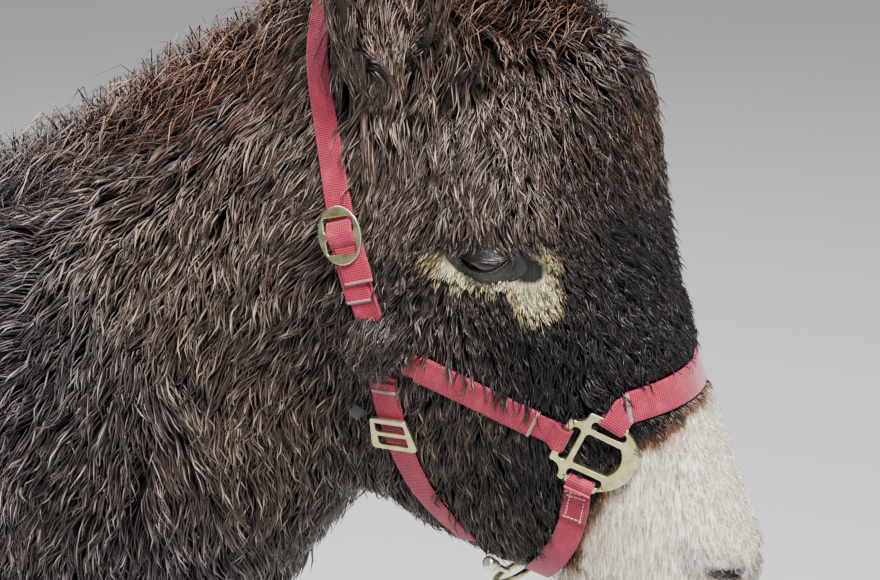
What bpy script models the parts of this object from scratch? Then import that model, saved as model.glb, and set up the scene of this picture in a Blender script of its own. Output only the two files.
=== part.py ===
"""A life-size donkey standing still in a webbing halter, as a museum shows one.

Metres, +Z up. The donkey faces +X with its right side towards -Y. The origin is on the floor, under the
middle of the whole animal. Every surface of flesh is the outside of the coat, out to the tips of the hair.
"""
import math

import bmesh
import bpy
import numpy as np
from mathutils import Matrix, Vector
from mathutils.bvhtree import BVHTree

# Driving sizes
WITHERS_HEIGHT = 1.18
EAR_LENGTH = 0.27
HEAD_PITCH = math.radians(60)  # how far the line of the nose points below level
PART_GAP = 0.0008  # width of the thin cuts between named parts
FIT_GAP = 0.0004  # clearance of a piece that sits on or in another
BED_GAP = 0.0005  # clearance round a strap in the bed that it presses into the coat

# How finely the flesh is made
BLEND_CELL = 0.008
BLEND_PASSES = 7
FLESH_FACES = 4000
HEAD_CARE = 6e-5  # how much dearer it is to drop a face of the head than one of the rest

# Colours of the coat and of what it wears
DARK_COAT = (0.035, 0.022, 0.017)
RED_COAT = (0.060, 0.028, 0.016)
GREY_COAT = (0.075, 0.060, 0.048)
HORN = (0.060, 0.055, 0.050)
EYE_BLACK = (0.010, 0.006, 0.004)
WEBBING_RED = (0.280, 0.010, 0.030)
BRASS = (0.700, 0.560, 0.300)
TAG_BLACK = (0.020, 0.020, 0.022)

# The poll, from the withers, and the ways along the nose, out of the face and to the left
POLL = Vector((0.530, 0.0, WITHERS_HEIGHT + 0.236))
NOSE_WAY = Vector((math.cos(HEAD_PITCH), 0.0, -math.sin(HEAD_PITCH)))
BROW_WAY = Vector((math.sin(HEAD_PITCH), 0.0, math.cos(HEAD_PITCH)))
SIDE_WAY = Vector((0.0, 1.0, 0.0))
HEAD_AXES = (NOSE_WAY, SIDE_WAY, BROW_WAY)
FRONT_WAY = Vector((1.0, 0.0, 0.0))
UP_WAY = Vector((0.0, 0.0, 1.0))


def on_head(along, rise, side=0.0):
    """A point from the poll: along the nose, out of the face, and to the left."""
    return POLL + NOSE_WAY * along + BROW_WAY * rise + SIDE_WAY * side


# Cross-sections. Each row is one oval: the middle, the half width, the reach above and below the middle,
# and the power of the oval (2 is an ellipse, more is squarer).
# trunk: x, z, half width, above, below, power
TRUNK = (
    (0.190, 0.800, 0.060, 0.080, 0.090, 2.0),
    (0.160, 0.820, 0.125, 0.160, 0.165, 2.1),
    (0.080, 0.865, 0.172, 0.255, 0.235, 2.2),
    (-0.040, 0.890, 0.195, 0.290, 0.280, 2.1),
    (-0.200, 0.865, 0.222, 0.283, 0.272, 2.1),
    (-0.420, 0.850, 0.242, 0.280, 0.270, 2.1),
    (-0.620, 0.870, 0.240, 0.300, 0.255, 2.1),
    (-0.790, 0.915, 0.220, 0.272, 0.215, 2.2),
    (-0.920, 0.935, 0.168, 0.205, 0.190, 2.2),
    (-0.985, 0.930, 0.080, 0.110, 0.110, 2.0),
)
# neck: x, z, tilt of the section in degrees, half width, above, below, power
NECK = (
    (-0.080, 0.900, 22, 0.160, 0.236, 0.240, 2.0),
    (0.060, 0.955, 28, 0.150, 0.214, 0.250, 2.1),
    (0.190, 1.015, 34, 0.132, 0.196, 0.225, 2.1),
    (0.310, 1.095, 38, 0.114, 0.182, 0.160, 2.1),
    (0.420, 1.190, 42, 0.098, 0.168, 0.132, 2.1),
    (0.490, 1.270, 48, 0.080, 0.130, 0.120, 2.0),
)
# head: along from the poll, rise of the middle, half width, above, below, power
HEAD = (
    (-0.030, -0.120, 0.050, 0.060, 0.060, 2.0),
    (0.005, -0.118, 0.070, 0.096, 0.115, 2.1),
    (0.050, -0.122, 0.081, 0.154, 0.150, 2.2),
    (0.100, -0.124, 0.096, 0.181, 0.185, 2.4),
    (0.160, -0.124, 0.104, 0.163, 0.208, 2.5),
    (0.230, -0.116, 0.098, 0.128, 0.222, 2.5),
    (0.300, -0.108, 0.080, 0.105, 0.214, 2.4),
    (0.350, -0.102, 0.068, 0.091, 0.188, 2.3),
    (0.400, -0.096, 0.061, 0.078, 0.150, 2.2),
    (0.450, -0.094, 0.058, 0.070, 0.098, 2.2),
    (0.497, -0.098, 0.052, 0.060, 0.070, 2.2),
    (0.517, -0.102, 0.030, 0.034, 0.040, 2.0),
)
# lumps of the head: along, rise, side, then the half sizes along the nose, sideways and out of the face
HEAD_LUMPS = (
    (0.140, -0.046, 0.080, 0.056, 0.028, 0.028),  # ridge over the eye
    (0.160, -0.185, 0.066, 0.100, 0.042, 0.090),  # cheek
    (0.022, -0.088, 0.050, 0.045, 0.032, 0.042),  # root of the ear
    (0.468, -0.072, 0.036, 0.032, 0.022, 0.026),  # nostril
    (0.482, -0.142, 0.012, 0.028, 0.030, 0.024),  # lower lip
)
# lumps of the body: x, y, z, then the half sizes along x, y and z
BODY_LUMPS = (
    (0.060, 0.120, 0.900, 0.095, 0.070, 0.200),  # shoulder
    (0.135, 0.085, 0.790, 0.060, 0.075, 0.100),  # breast
    (-0.800, 0.120, 0.930, 0.150, 0.100, 0.190),  # haunch
)
# legs: z, x, y, half width, reach forwards, reach backwards
FORELEG = (
    (0.930, 0.010, 0.110, 0.060, 0.120, 0.120),
    (0.780, 0.020, 0.116, 0.072, 0.105, 0.110),
    (0.660, 0.004, 0.118, 0.064, 0.080, 0.088),
    (0.560, 0.004, 0.118, 0.052, 0.062, 0.064),
    (0.440, 0.012, 0.118, 0.043, 0.048, 0.048),
    (0.360, 0.018, 0.118, 0.044, 0.048, 0.044),
    (0.300, 0.014, 0.118, 0.034, 0.036, 0.040),
    (0.210, 0.012, 0.118, 0.029, 0.032, 0.038),
    (0.145, 0.014, 0.118, 0.036, 0.038, 0.046),
    (0.100, 0.028, 0.118, 0.032, 0.034, 0.040),
    (0.040, 0.042, 0.118, 0.035, 0.040, 0.042),
)
HINDLEG = (
    (1.040, -0.790, 0.090, 0.085, 0.120, 0.120),
    (0.900, -0.775, 0.112, 0.098, 0.160, 0.175),
    (0.780, -0.765, 0.122, 0.088, 0.150, 0.160),
    (0.680, -0.785, 0.124, 0.068, 0.118, 0.120),
    (0.580, -0.835, 0.124, 0.050, 0.076, 0.080),
    (0.500, -0.885, 0.124, 0.044, 0.052, 0.066),
    (0.440, -0.900, 0.124, 0.044, 0.050, 0.056),
    (0.360, -0.890, 0.124, 0.034, 0.038, 0.044),
    (0.230, -0.874, 0.124, 0.030, 0.034, 0.040),
    (0.150, -0.862, 0.124, 0.037, 0.040, 0.048),
    (0.100, -0.846, 0.124, 0.033, 0.036, 0.042),
    (0.040, -0.832, 0.124, 0.036, 0.042, 0.044),
)
FORE_STEP = (0.020, -0.020)  # how far forward the right and left forefeet stand
HIND_STEP = (-0.030, 0.030)
STEP_TOP = 0.25  # how far below the top of a leg its step begins
# tail: x, z, half width, half depth
TAIL = (
    (-0.900, 1.080, 0.034, 0.034),
    (-0.965, 1.070, 0.036, 0.034),
    (-1.018, 1.015, 0.032, 0.030),
    (-1.030, 0.920, 0.030, 0.028),
    (-1.034, 0.780, 0.034, 0.032),
    (-1.038, 0.640, 0.050, 0.038),
    (-1.038, 0.520, 0.046, 0.036),
    (-1.034, 0.420, 0.020, 0.018),
)
EAR_ROOT = (0.032, -0.082, 0.076)  # along from the poll, rise and side
EAR_WAY = (0.06, 0.13, 0.99)  # the way that an ear points, on the left
EAR_MOUTH = (0.55, 0.83, 0.0)  # the way that its opening faces, on the left
# ear: height as a share of its length, lean, half width, half depth, wall, half angle of the opening
EAR = (
    (-0.20, -0.040, 0.022, 0.024, 0.014, 10),
    (0.00, -0.014, 0.036, 0.037, 0.017, 12),
    (0.14, 0.000, 0.046, 0.043, 0.015, 26),
    (0.32, 0.002, 0.052, 0.040, 0.013, 48),
    (0.52, 0.004, 0.050, 0.033, 0.012, 66),
    (0.72, 0.008, 0.041, 0.026, 0.011, 76),
    (0.88, 0.013, 0.027, 0.018, 0.008, 84),
    (1.00, 0.016, 0.010, 0.008, 0.004, 88),
)
EAR_SIDES = 8
CORONET_HEIGHT = 0.064
CORONET_TILT = 0.25  # how much the top of a hoof rises for each metre forwards
# hoof: height, half width, reach of the toe and of the heel
HOOF = (
    (0.000, 0.041, 0.054, 0.044),
    (0.004, 0.0425, 0.0555, 0.0455),
    (0.030, 0.039, 0.048, 0.044),
    (0.080, 0.034, 0.036, 0.040),
)
# mane, along the top of the neck: x, z, half width, above, below
CREST = (
    (0.588, 1.352, 0.022, 0.008, 0.030),
    (0.562, 1.385, 0.032, 0.016, 0.040),
    (0.515, 1.412, 0.038, 0.034, 0.060),
    (0.440, 1.385, 0.032, 0.034, 0.060),
    (0.330, 1.310, 0.028, 0.034, 0.060),
    (0.210, 1.238, 0.025, 0.032, 0.060),
    (0.100, 1.190, 0.022, 0.026, 0.050),
    (0.010, 1.160, 0.014, 0.012, 0.030),
)
EYE_PLACE = (0.180, -0.074, 0.079)  # along from the poll, rise and side
EYE_RADIUS = 0.021
EYE_HOLLOW = (0.034, 0.018, 0.020)  # half sizes of the bare hollow that the eye sits in
EYE_HOLLOW_OUT = 0.004  # how far outside the front of the eye its middle is

# Halter. A place on the head is how far along from the poll it lies, and the turn round the head from
# the bridge of the nose, in degrees. A place behind the ears is an x, and the turn from the crest.
WEBBING_WIDTH = 0.025
WEBBING_THICKNESS = 0.0026
STRAP_STEP = 0.016  # spacing of the sections of a strap
BED_REACH = 0.030  # how far above the coat the fur is parted over the halter
CHEEK_AXIS_RISE = -0.110  # the line that the turns go round
CREST_AXIS_HEIGHT = 1.250
SQUARE_PLACE = (0.345, 66)
RING_PLACE = (0.208, 127)
SLIDE_PLACE = (0.120, 118)
BUCKLE_PLACE = (0.272, 143)
TAG_PLACE = (0.246, 145.5)
CHIN_RING_PLACE = (0.432, 180)
SNAP_PLACE = (0.409, 167)
NOSEBAND = ((0.322, 43.5), (0.327, 32), (0.332, 15), (0.333, 0))
CHEEK_STRAP = ((0.316, 83), (0.300, 92), (0.277, 103), (0.248, 114), (0.224, 122))
SIDE_STRAP = ((0.190, 123), (0.164, 120), (0.138, 118), (0.112, 118))
CROWN_STRAP = ((0.438, 84), (0.428, 63), (0.412, 37), (0.404, 18), (0.402, 0))
THROAT_STRAP = ((0.228, 132), (0.248, 138), (0.272, 143), (0.305, 151), (0.345, 158), (0.385, 164))
THROAT_END = (0.413, 170)
CHIN_STRAP = ((0.367, 90), (0.388, 104), (0.410, 126), (0.424, 150), (0.430, 163))
STRAP_SINK = 0.0006  # how far the outer face of a strap lies below the tips of the coat
FITTING_LIFT = 0.0022  # how far a fitting on a strap stands off the tips of the coat
SQUARE_HALF = 0.031
SQUARE_BAR = 0.009
SQUARE_CORNER = 0.011
SQUARE_BLADE = 0.009  # how far its rounded side stands out
SQUARE_THICKNESS = 0.004
SQUARE_BED_SCALE = 1.04
FITTING_THICKNESS = 0.003
RING_RADIUS = 0.014
RING_WIRE = 0.0024
CHIN_RING_RADIUS = 0.017
CHIN_RING_WIRE = 0.003
CHIN_RING_DROP = 0.004
SLIDE_SIZE = (0.042, 0.036)
BUCKLE_SIZE = (0.030, 0.035)
BUCKLE_BAR = 0.004
SNAP_SIZE = (0.036, 0.016)
SNAP_THICKNESS = 0.0045
TAG_SIZE = (0.014, 0.008)
TAG_THICKNESS = 0.0012
NEAR_COAT = 0.02  # how far round a fitting the lie of the coat is taken
CAST_REACH = 0.4  # further from the middle of the animal than any coat that a strap lies on

# Thin cuts between the named parts: a point on the plane and the way that it faces
HEAD_CUT = (Vector((0.372, 0.0, 1.150)), Vector((1.0, 0.0, -0.050)))
NECK_CUT = (Vector((0.095, 0.0, 1.030)), Vector((0.866, 0.0, 0.500)))
FORELEG_CUT = (Vector((0.0, 0.0, 0.572)), Vector((0.0, 0.0, -1.0)))
HINDLEG_CUT = (Vector((-0.600, 0.0, 0.572)), Vector((-0.38, 0.0, -0.90)))
TAIL_CUT = (Vector((-0.996, 0.0, 0.900)), Vector((-1.0, 0.0, 0.0)))
FLANK = (Vector((-0.400, 0.0, 0.0)), Vector((-1.0, 0.0, 0.0)))  # between fore and hind
MIDDLE = (Vector((0.0, 0.0, 0.0)), SIDE_WAY)


def smooth_rows(rows, between):
    """The rows with others set between them, on a Catmull-Rom curve through them."""
    rows = np.array(rows, float)
    ends = np.vstack([2 * rows[0] - rows[1], rows, 2 * rows[-1] - rows[-2]])
    out = []
    for i in range(1, len(ends) - 2):
        a, b, c, d = ends[i - 1 : i + 3]
        for step in range(between):
            t = step / between
            out.append(
                0.5
                * (
                    2 * b
                    + (c - a) * t
                    + (2 * a - 5 * b + 4 * c - d) * t**2
                    + (3 * b - 3 * c + d - a) * t**3
                )
            )
    out.append(rows[-1])
    return np.array(out)


def oval(middle, across, upward, half_width, above, below, power, sides=28):
    """The points of one oval round middle, with its own reach above and below."""
    points = []
    for k in range(sides):
        turn = 2 * math.pi * k / sides
        c, s = math.cos(turn), math.sin(turn)
        w = math.copysign(abs(c) ** (2 / power), c) * half_width
        h = math.copysign(abs(s) ** (2 / power), s) * (above if s > 0 else below)
        points.append(middle + across * w + upward * h)
    return points


def add_loft(bm, rings):
    """Skins the rings, all of one count, into a closed shape."""
    made = [[bm.verts.new(p) for p in ring] for ring in rings]
    count = len(made[0])
    for near, far in zip(made, made[1:]):
        for k in range(count):
            n = (k + 1) % count
            bm.faces.new((near[k], near[n], far[n], far[k]))
    bm.faces.new(made[0][::-1])
    bm.faces.new(made[-1])


def trunk_rings():
    for x, z, width, above, below, power in smooth_rows(TRUNK, 4):
        yield oval(Vector((x, 0, z)), SIDE_WAY, UP_WAY, width, above, below, power)


def neck_rings():
    for x, z, tilt, width, above, below, power in smooth_rows(NECK, 4):
        tilt = math.radians(tilt)
        upward = Vector((-math.sin(tilt), 0, math.cos(tilt)))
        yield oval(Vector((x, 0, z)), SIDE_WAY, upward, width, above, below, power)


def head_rings():
    for along, rise, width, above, below, power in smooth_rows(HEAD, 5):
        yield oval(on_head(along, rise), SIDE_WAY, BROW_WAY, width, above, below, power)


def leg_rings(rows, side, step):
    """Level ovals down a leg. The step grows from nothing at the top to its full size at the foot."""
    rows = smooth_rows(rows, 4)
    top, foot = rows[0][0] - STEP_TOP, rows[-1][0]
    for z, x, y, width, front, back in rows:
        x += step * min(1.0, max(0.0, (top - z) / (top - foot)))
        yield oval(Vector((x, side * y, z)), SIDE_WAY, FRONT_WAY, width, front, back, 2.1, 20)


def tail_rings():
    rows = smooth_rows(TAIL, 4)
    for i, (x, z, width, depth) in enumerate(rows):
        before, after = rows[max(0, i - 1)], rows[min(len(rows) - 1, i + 1)]
        way = Vector((after[0] - before[0], 0, after[1] - before[1])).normalized()
        outward = Vector((way.z, 0, -way.x))
        yield oval(Vector((x, 0, z)), SIDE_WAY, outward, width, depth, depth, 2.0, 16)


def add_lump(bm, centre, axes, sizes):
    """An ellipsoid with its own axes, such as a muscle or the ridge over an eye."""
    turn = Matrix(axes).transposed().to_4x4()
    place = Matrix.Translation(centre) @ turn @ Matrix.Diagonal((*sizes, 1.0))
    bmesh.ops.create_uvsphere(bm, u_segments=16, v_segments=10, radius=1.0, matrix=place)


def flesh_mesh():
    """The whole animal but for its ears, as one blended closed mesh."""
    bm = bmesh.new()
    add_loft(bm, list(trunk_rings()))
    add_loft(bm, list(neck_rings()))
    add_loft(bm, list(head_rings()))
    add_loft(bm, list(tail_rings()))
    for side, fore, hind in ((-1, FORE_STEP[0], HIND_STEP[0]), (1, FORE_STEP[1], HIND_STEP[1])):
        add_loft(bm, list(leg_rings(FORELEG, side, fore)))
        add_loft(bm, list(leg_rings(HINDLEG, side, hind)))
        for along, rise, out, *sizes in HEAD_LUMPS:
            add_lump(bm, on_head(along, rise, side * out), HEAD_AXES, sizes)
        for x, y, z, *sizes in BODY_LUMPS:
            add_lump(bm, Vector((x, side * y, z)), Matrix.Identity(3), sizes)
    bmesh.ops.recalc_face_normals(bm, faces=bm.faces)
    return bm


def with_modifiers(source, modifiers, finer=None):
    """The mesh after a stack of modifiers. A vertex weighs half where finer says so, and else one."""
    mesh = bpy.data.meshes.new("flesh")
    source.to_mesh(mesh)
    obj = bpy.data.objects.new("flesh", mesh)
    bpy.context.scene.collection.objects.link(obj)
    if finer:
        group = obj.vertex_groups.new(name="coarse")
        for vertex in mesh.vertices:
            group.add([vertex.index], 0.5 if finer(vertex.co) else 1.0, "REPLACE")
    for kind, settings in modifiers:
        modifier = obj.modifiers.new(kind.title(), kind)
        for key, value in settings.items():
            setattr(modifier, key, value)
    graph = bpy.context.evaluated_depsgraph_get()
    made = bmesh.new()
    made.from_mesh(obj.evaluated_get(graph).to_mesh())
    bpy.data.objects.remove(obj)
    return made


def blended_flesh():
    """The flesh blended into one skin of few faces, finest on the head."""
    blend = (
        ("REMESH", {"mode": "VOXEL", "voxel_size": BLEND_CELL}),
        ("SMOOTH", {"factor": 0.5, "iterations": BLEND_PASSES}),
    )
    dense = with_modifiers(flesh_mesh(), blend)
    fewer = {
        "ratio": FLESH_FACES / (2 * len(dense.faces)),
        "vertex_group": "coarse",
        "vertex_group_factor": HEAD_CARE,
        "use_collapse_triangulate": True,
    }
    return with_modifiers(dense, (("DECIMATE", fewer),), lambda place: place.x > HEAD_CUT[0].x)


def flipped(cut):
    """The same plane, facing the other way."""
    return cut[0], -cut[1]


def parted(source, *cuts):
    """A copy of the mesh with only what each plane faces, closed along the cuts."""
    bm = source.copy()
    for point, normal in cuts:
        normal = normal.normalized()
        whole = bm.verts[:] + bm.edges[:] + bm.faces[:]
        edge = point + normal * PART_GAP / 2
        bmesh.ops.bisect_plane(bm, geom=whole, plane_co=edge, plane_no=normal, clear_inner=True)
        rim = [e for e in bm.edges if e.is_boundary]
        bmesh.ops.holes_fill(bm, edges=rim, sides=0)
    return bm


def ear_mesh(side):
    """One cupped ear: C-shaped sections, open to the front, from the root up to the tip."""
    mirror = Vector((1, side, 1))
    up = (Vector(EAR_WAY) * mirror).normalized()
    forward = Vector(EAR_MOUTH) * mirror
    forward = (forward - up * forward.dot(up)).normalized()
    across = up.cross(forward)
    along, rise, out = EAR_ROOT
    root = on_head(along, rise, side * out)
    bm = bmesh.new()
    rings = []
    for height, lean, width, depth, wall, gape in EAR:
        middle = root + up * (height * EAR_LENGTH) + forward * lean
        outer, inner = [], []
        for k in range(EAR_SIDES + 1):
            turn = math.radians(gape + (360 - 2 * gape) * k / EAR_SIDES)
            outer.append(middle + forward * math.cos(turn) * depth + across * math.sin(turn) * width)
            inward = (math.cos(turn) * (depth - wall), math.sin(turn) * (width - wall))
            inner.append(middle + forward * inward[0] + across * inward[1])
        rings.append(outer + inner[::-1])
    add_loft(bm, rings)
    bmesh.ops.recalc_face_normals(bm, faces=bm.faces)
    return bm


def hoof_mesh(x, y):
    """One upright hoof, flat on the floor, with its toe forwards."""
    bm = bmesh.new()
    rings = []
    for z, width, toe, heel in HOOF:
        rings.append(oval(Vector((x, y, z)), SIDE_WAY, FRONT_WAY, width, toe, heel, 2.3, 16))
    add_loft(bm, rings)
    bmesh.ops.recalc_face_normals(bm, faces=bm.faces)
    return bm


def crest_mesh():
    """The mane: a soft ridge along the top of the neck, from between the ears to the withers."""
    rows = smooth_rows(CREST, 2)
    bm = bmesh.new()
    rings = []
    for i, (x, z, width, above, below) in enumerate(rows):
        before, after = rows[max(0, i - 1)], rows[min(len(rows) - 1, i + 1)]
        way = Vector((after[0] - before[0], 0, after[1] - before[1])).normalized()
        upward = Vector((-way.z, 0, way.x))
        rings.append(oval(Vector((x, 0, z)), SIDE_WAY, upward, width, above, below, 2.0, 10))
    add_loft(bm, rings)
    bmesh.ops.recalc_face_normals(bm, faces=bm.faces)
    return bm


def eye_mesh(side, radius=EYE_RADIUS):
    bm = bmesh.new()
    along, rise, out = EYE_PLACE
    place = Matrix.Translation(on_head(along, rise, side * out))
    bmesh.ops.create_uvsphere(bm, u_segments=14, v_segments=8, radius=radius, matrix=place)
    return bm


def eye_hollow_mesh(side):
    """What is cut from the coat so that the eye shows: a level almond over the front of the eye."""
    bm = bmesh.new()
    along, rise, out = EYE_PLACE
    place = on_head(along, rise, side * (out + EYE_RADIUS + EYE_HOLLOW_OUT))
    add_lump(bm, place, Matrix.Identity(3), EYE_HOLLOW)
    return bm


def head_ray(place, side):
    """The middle of the head abreast of a place on it, and the way from there out to the place."""
    along, turn = place[0], math.radians(place[1])
    way = BROW_WAY * math.cos(turn) + SIDE_WAY * (side * math.sin(turn))
    return on_head(along, CHEEK_AXIS_RISE), way


def crest_ray(place, side):
    """The middle of the neck abreast of a place behind the ears, and the way out to the place."""
    x, turn = place[0], math.radians(place[1])
    way = UP_WAY * math.cos(turn) + SIDE_WAY * (side * math.sin(turn))
    return Vector((x, 0.0, CREST_AXIS_HEIGHT)), way


def on_coat(coat, ray):
    """Where a ray from inside the animal leaves the coat for the last time."""
    centre, way = ray
    return coat.ray_cast(centre + way * CAST_REACH, -way)[0]


def smoothed(points, passes):
    """The points after moving each a little towards the middle of its neighbours. The ends stay."""
    points = [p.copy() for p in points]
    for _ in range(passes):
        middles = [(a + c) / 4 + b / 2 for a, b, c in zip(points, points[1:], points[2:])]
        points[1:-1] = middles
    return points


def strap_line(coat, rays):
    """Points along a strap laid on the coat, and the way out of the coat at each."""
    corners = [on_coat(coat, ray) for ray in rays]
    curve = [Vector(p) for p in smooth_rows(corners, 8)]
    line = [curve[0]]
    for point in curve[1:-1]:
        if (point - line[-1]).length > STRAP_STEP:
            line.append(point)
    line.append(curve[-1])
    found = [coat.find_nearest(point) for point in line]
    line = smoothed([hit[0] for hit in found], 3)
    outward = smoothed([hit[1] for hit in found], 6)
    return line, [way.normalized() for way in outward]


def strap_mesh(line, outward, width, inner, outer, longer=0.0):
    """A flat band along the line, from its inner to its outer face, counted outwards from the coat."""
    bm = bmesh.new()
    rings = []
    for i, (point, way) in enumerate(zip(line, outward)):
        ahead = (line[min(i + 1, len(line) - 1)] - line[max(i - 1, 0)]).normalized()
        if i in (0, len(line) - 1):
            point = point + ahead * (longer if i else -longer)
        across = ahead.cross(way).normalized() * (width / 2)
        low, high = point + way * inner, point + way * outer
        rings.append([low + across, low - across, high - across, high + across])
    add_loft(bm, rings)
    bmesh.ops.triangulate(bm, faces=bm.faces, quad_method="FIXED")  # so that a bed twists as its strap does
    bmesh.ops.recalc_face_normals(bm, faces=bm.faces)
    return bm


def plate_mesh(outline, holes, low, high):
    """A flat plate of the outline, pierced by the holes, between two heights."""
    bm = bmesh.new()
    for loop in (outline, *holes):
        corners = [bm.verts.new((x, y, low)) for x, y in loop]
        for a, b in zip(corners, corners[1:] + corners[:1]):
            bm.edges.new((a, b))
    bmesh.ops.triangle_fill(bm, edges=bm.edges[:], use_beauty=True)
    made = bmesh.ops.extrude_face_region(bm, geom=bm.faces[:])["geom"]
    raised = [v for v in made if isinstance(v, bmesh.types.BMVert)]
    bmesh.ops.translate(bm, verts=raised, vec=Vector((0, 0, high - low)))
    bmesh.ops.recalc_face_normals(bm, faces=bm.faces)
    return bm


def box_outline(length, width, corner, middle=0.0):
    """A rectangle with its corners cut off, along and across."""
    x, y = length / 2, width / 2
    points = []
    for sx, sy in ((1, 1), (-1, 1), (-1, -1), (1, -1)):
        pair = [(middle + sx * x, sy * (y - corner)), (middle + sx * (x - corner), sy * y)]
        points += pair if sx == sy else pair[::-1]
    return points


def oval_outline(length, width, sides=16):
    turns = [2 * math.pi * k / sides for k in range(sides)]
    return [(math.cos(t) * length / 2, math.sin(t) * width / 2) for t in turns]


def square_outline():
    """The halter square: three straight bars, and a rounded blade away from the cheek strap."""
    half, corner = SQUARE_HALF, SQUARE_CORNER
    points = [(half, corner - half), (half, half - corner), (half - corner, half), (corner - half, half)]
    for k in range(7):
        turn = math.pi * k / 6
        points.append((-half - math.sin(turn) * SQUARE_BLADE, (half - corner) * math.cos(turn)))
    points += [(corner - half, -half), (half - corner, -half)]
    return points


def ring_mesh(radius, wire, sides=16, wire_sides=6):
    """A welded ring, lying flat round the origin."""
    bm = bmesh.new()
    rings = []
    for k in range(sides):
        turn = Matrix.Rotation(2 * math.pi * k / sides, 3, "Z")
        ring = []
        for j in range(wire_sides):
            round_wire = 2 * math.pi * j / wire_sides
            point = FRONT_WAY * (radius + math.cos(round_wire) * wire) + UP_WAY * math.sin(round_wire) * wire
            ring.append(bm.verts.new(turn @ point))
        rings.append(ring)
    for near, far in zip(rings, rings[1:] + rings[:1]):
        for k in range(wire_sides):
            n = (k + 1) % wire_sides
            bm.faces.new((near[k], near[n], far[n], far[k]))
    bmesh.ops.recalc_face_normals(bm, faces=bm.faces)
    return bm


def two_slots(length, width, bar, corner):
    """The two slots of a slide or buckle, on both sides of its middle bar."""
    middle = (length + bar) / 2
    return [box_outline(length, width, corner, way * middle) for way in (-1, 1)]


def coat_frame(coat, ray, ahead):
    """A frame lying on the coat at a place, with its X towards the point ahead and its Z outwards."""
    place = on_coat(coat, ray)
    outward = Vector()
    for way in (FRONT_WAY, -FRONT_WAY, UP_WAY, -UP_WAY):
        outward += coat.find_nearest(place + way * NEAR_COAT)[1]
    outward.normalize()
    forward = ahead - place
    forward = (forward - outward * forward.dot(outward)).normalized()
    frame = Matrix((forward, outward.cross(forward), outward)).transposed().to_4x4()
    return Matrix.Translation(place) @ frame


def placed(bm, frame):
    bmesh.ops.transform(bm, matrix=frame, verts=bm.verts)
    return bm


def material(name, colour, roughness, metallic=0.0):
    made = bpy.data.materials.new(name)
    made.use_nodes = True
    shader = made.node_tree.nodes["Principled BSDF"]
    shader.inputs["Base Color"].default_value = (*colour, 1.0)
    shader.inputs["Roughness"].default_value = roughness
    shader.inputs["Metallic"].default_value = metallic
    made.diffuse_color = (*colour, 1.0)
    return made


def add_part(name, bm, colour, roughness=0.9, metallic=0.0):
    mesh = bpy.data.meshes.new(name)
    bm.to_mesh(mesh)
    bm.free()
    mesh.shade_smooth()
    mesh.materials.append(material(name, colour, roughness, metallic))
    obj = bpy.data.objects.new(name, mesh)
    bpy.context.scene.collection.objects.link(obj)
    return obj


def add_cutter(name, bm):
    obj = add_part(name, bm, (0.5, 0.5, 0.5))
    obj.hide_render = True
    obj.display_type = "WIRE"
    return obj


def cut_away(obj, cutter):
    modifier = obj.modifiers.new(f"Cut {cutter.name}", "BOOLEAN")
    modifier.operation = "DIFFERENCE"
    modifier.solver = "EXACT"
    modifier.object = cutter


def grown(bm, by):
    """A copy of the mesh pushed outwards along its normals."""
    made = bm.copy()
    made.normal_update()
    for vertex in made.verts:
        vertex.co += vertex.normal * by
    return made


def coat_of(flesh, crest):
    """What the halter is laid on: the flesh and the mane together."""
    bm = flesh.copy()
    mesh = bpy.data.meshes.new("crest")
    crest.to_mesh(mesh)
    bm.from_mesh(mesh)
    return BVHTree.FromBMesh(bm)


def add_strap(coat, name, rays, hosts):
    """A strap laid along the rays, with its bed cut into the parts that it lies in."""
    line, outward = strap_line(coat, rays)
    outer = -STRAP_SINK
    inner = outer - WEBBING_THICKNESS
    add_part(name, strap_mesh(line, outward, WEBBING_WIDTH, inner, outer), WEBBING_RED)
    width = WEBBING_WIDTH + 2 * BED_GAP
    bed = add_cutter(f"{name}_bed", strap_mesh(line, outward, width, inner - BED_GAP, BED_REACH, BED_GAP))
    for host in hosts:
        cut_away(host, bed)


def add_brass(name, bm, frame):
    add_part(name, placed(bm, frame), BRASS, 0.3, 1.0)


def add_noseband(coat, head):
    right = [head_ray(place, -1) for place in NOSEBAND]
    left = [head_ray(place, 1) for place in NOSEBAND[-2::-1]]
    add_strap(coat, "halter_noseband", right + left, (head,))


def add_crown(coat, head, mane):
    """The strap over the crest behind the ears, down to the ring on each side."""
    halves = []
    for side in (-1, 1):
        half = [head_ray(place, side) for place in SIDE_STRAP]
        halves.append(half + [crest_ray(place, side) for place in CROWN_STRAP])
    right, left = halves
    add_strap(coat, "halter_crown", right + left[-2::-1], (head, mane))


def add_square(coat, head, name, side):
    frame = coat_frame(coat, head_ray(SQUARE_PLACE, side), on_coat(coat, head_ray(CHEEK_STRAP[0], side)))
    inside = 2 * (SQUARE_HALF - SQUARE_BAR)
    hole = box_outline(inside, inside, SQUARE_CORNER / 3)
    add_brass(name, plate_mesh(square_outline(), (hole,), -SQUARE_THICKNESS, 0.0), frame)
    wider = [(x * SQUARE_BED_SCALE, y * SQUARE_BED_SCALE) for x, y in square_outline()]
    bed = plate_mesh(wider, (), -SQUARE_THICKNESS - BED_GAP, BED_REACH)
    cut_away(head, add_cutter(f"{name}_bed", placed(bed, frame)))


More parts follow.
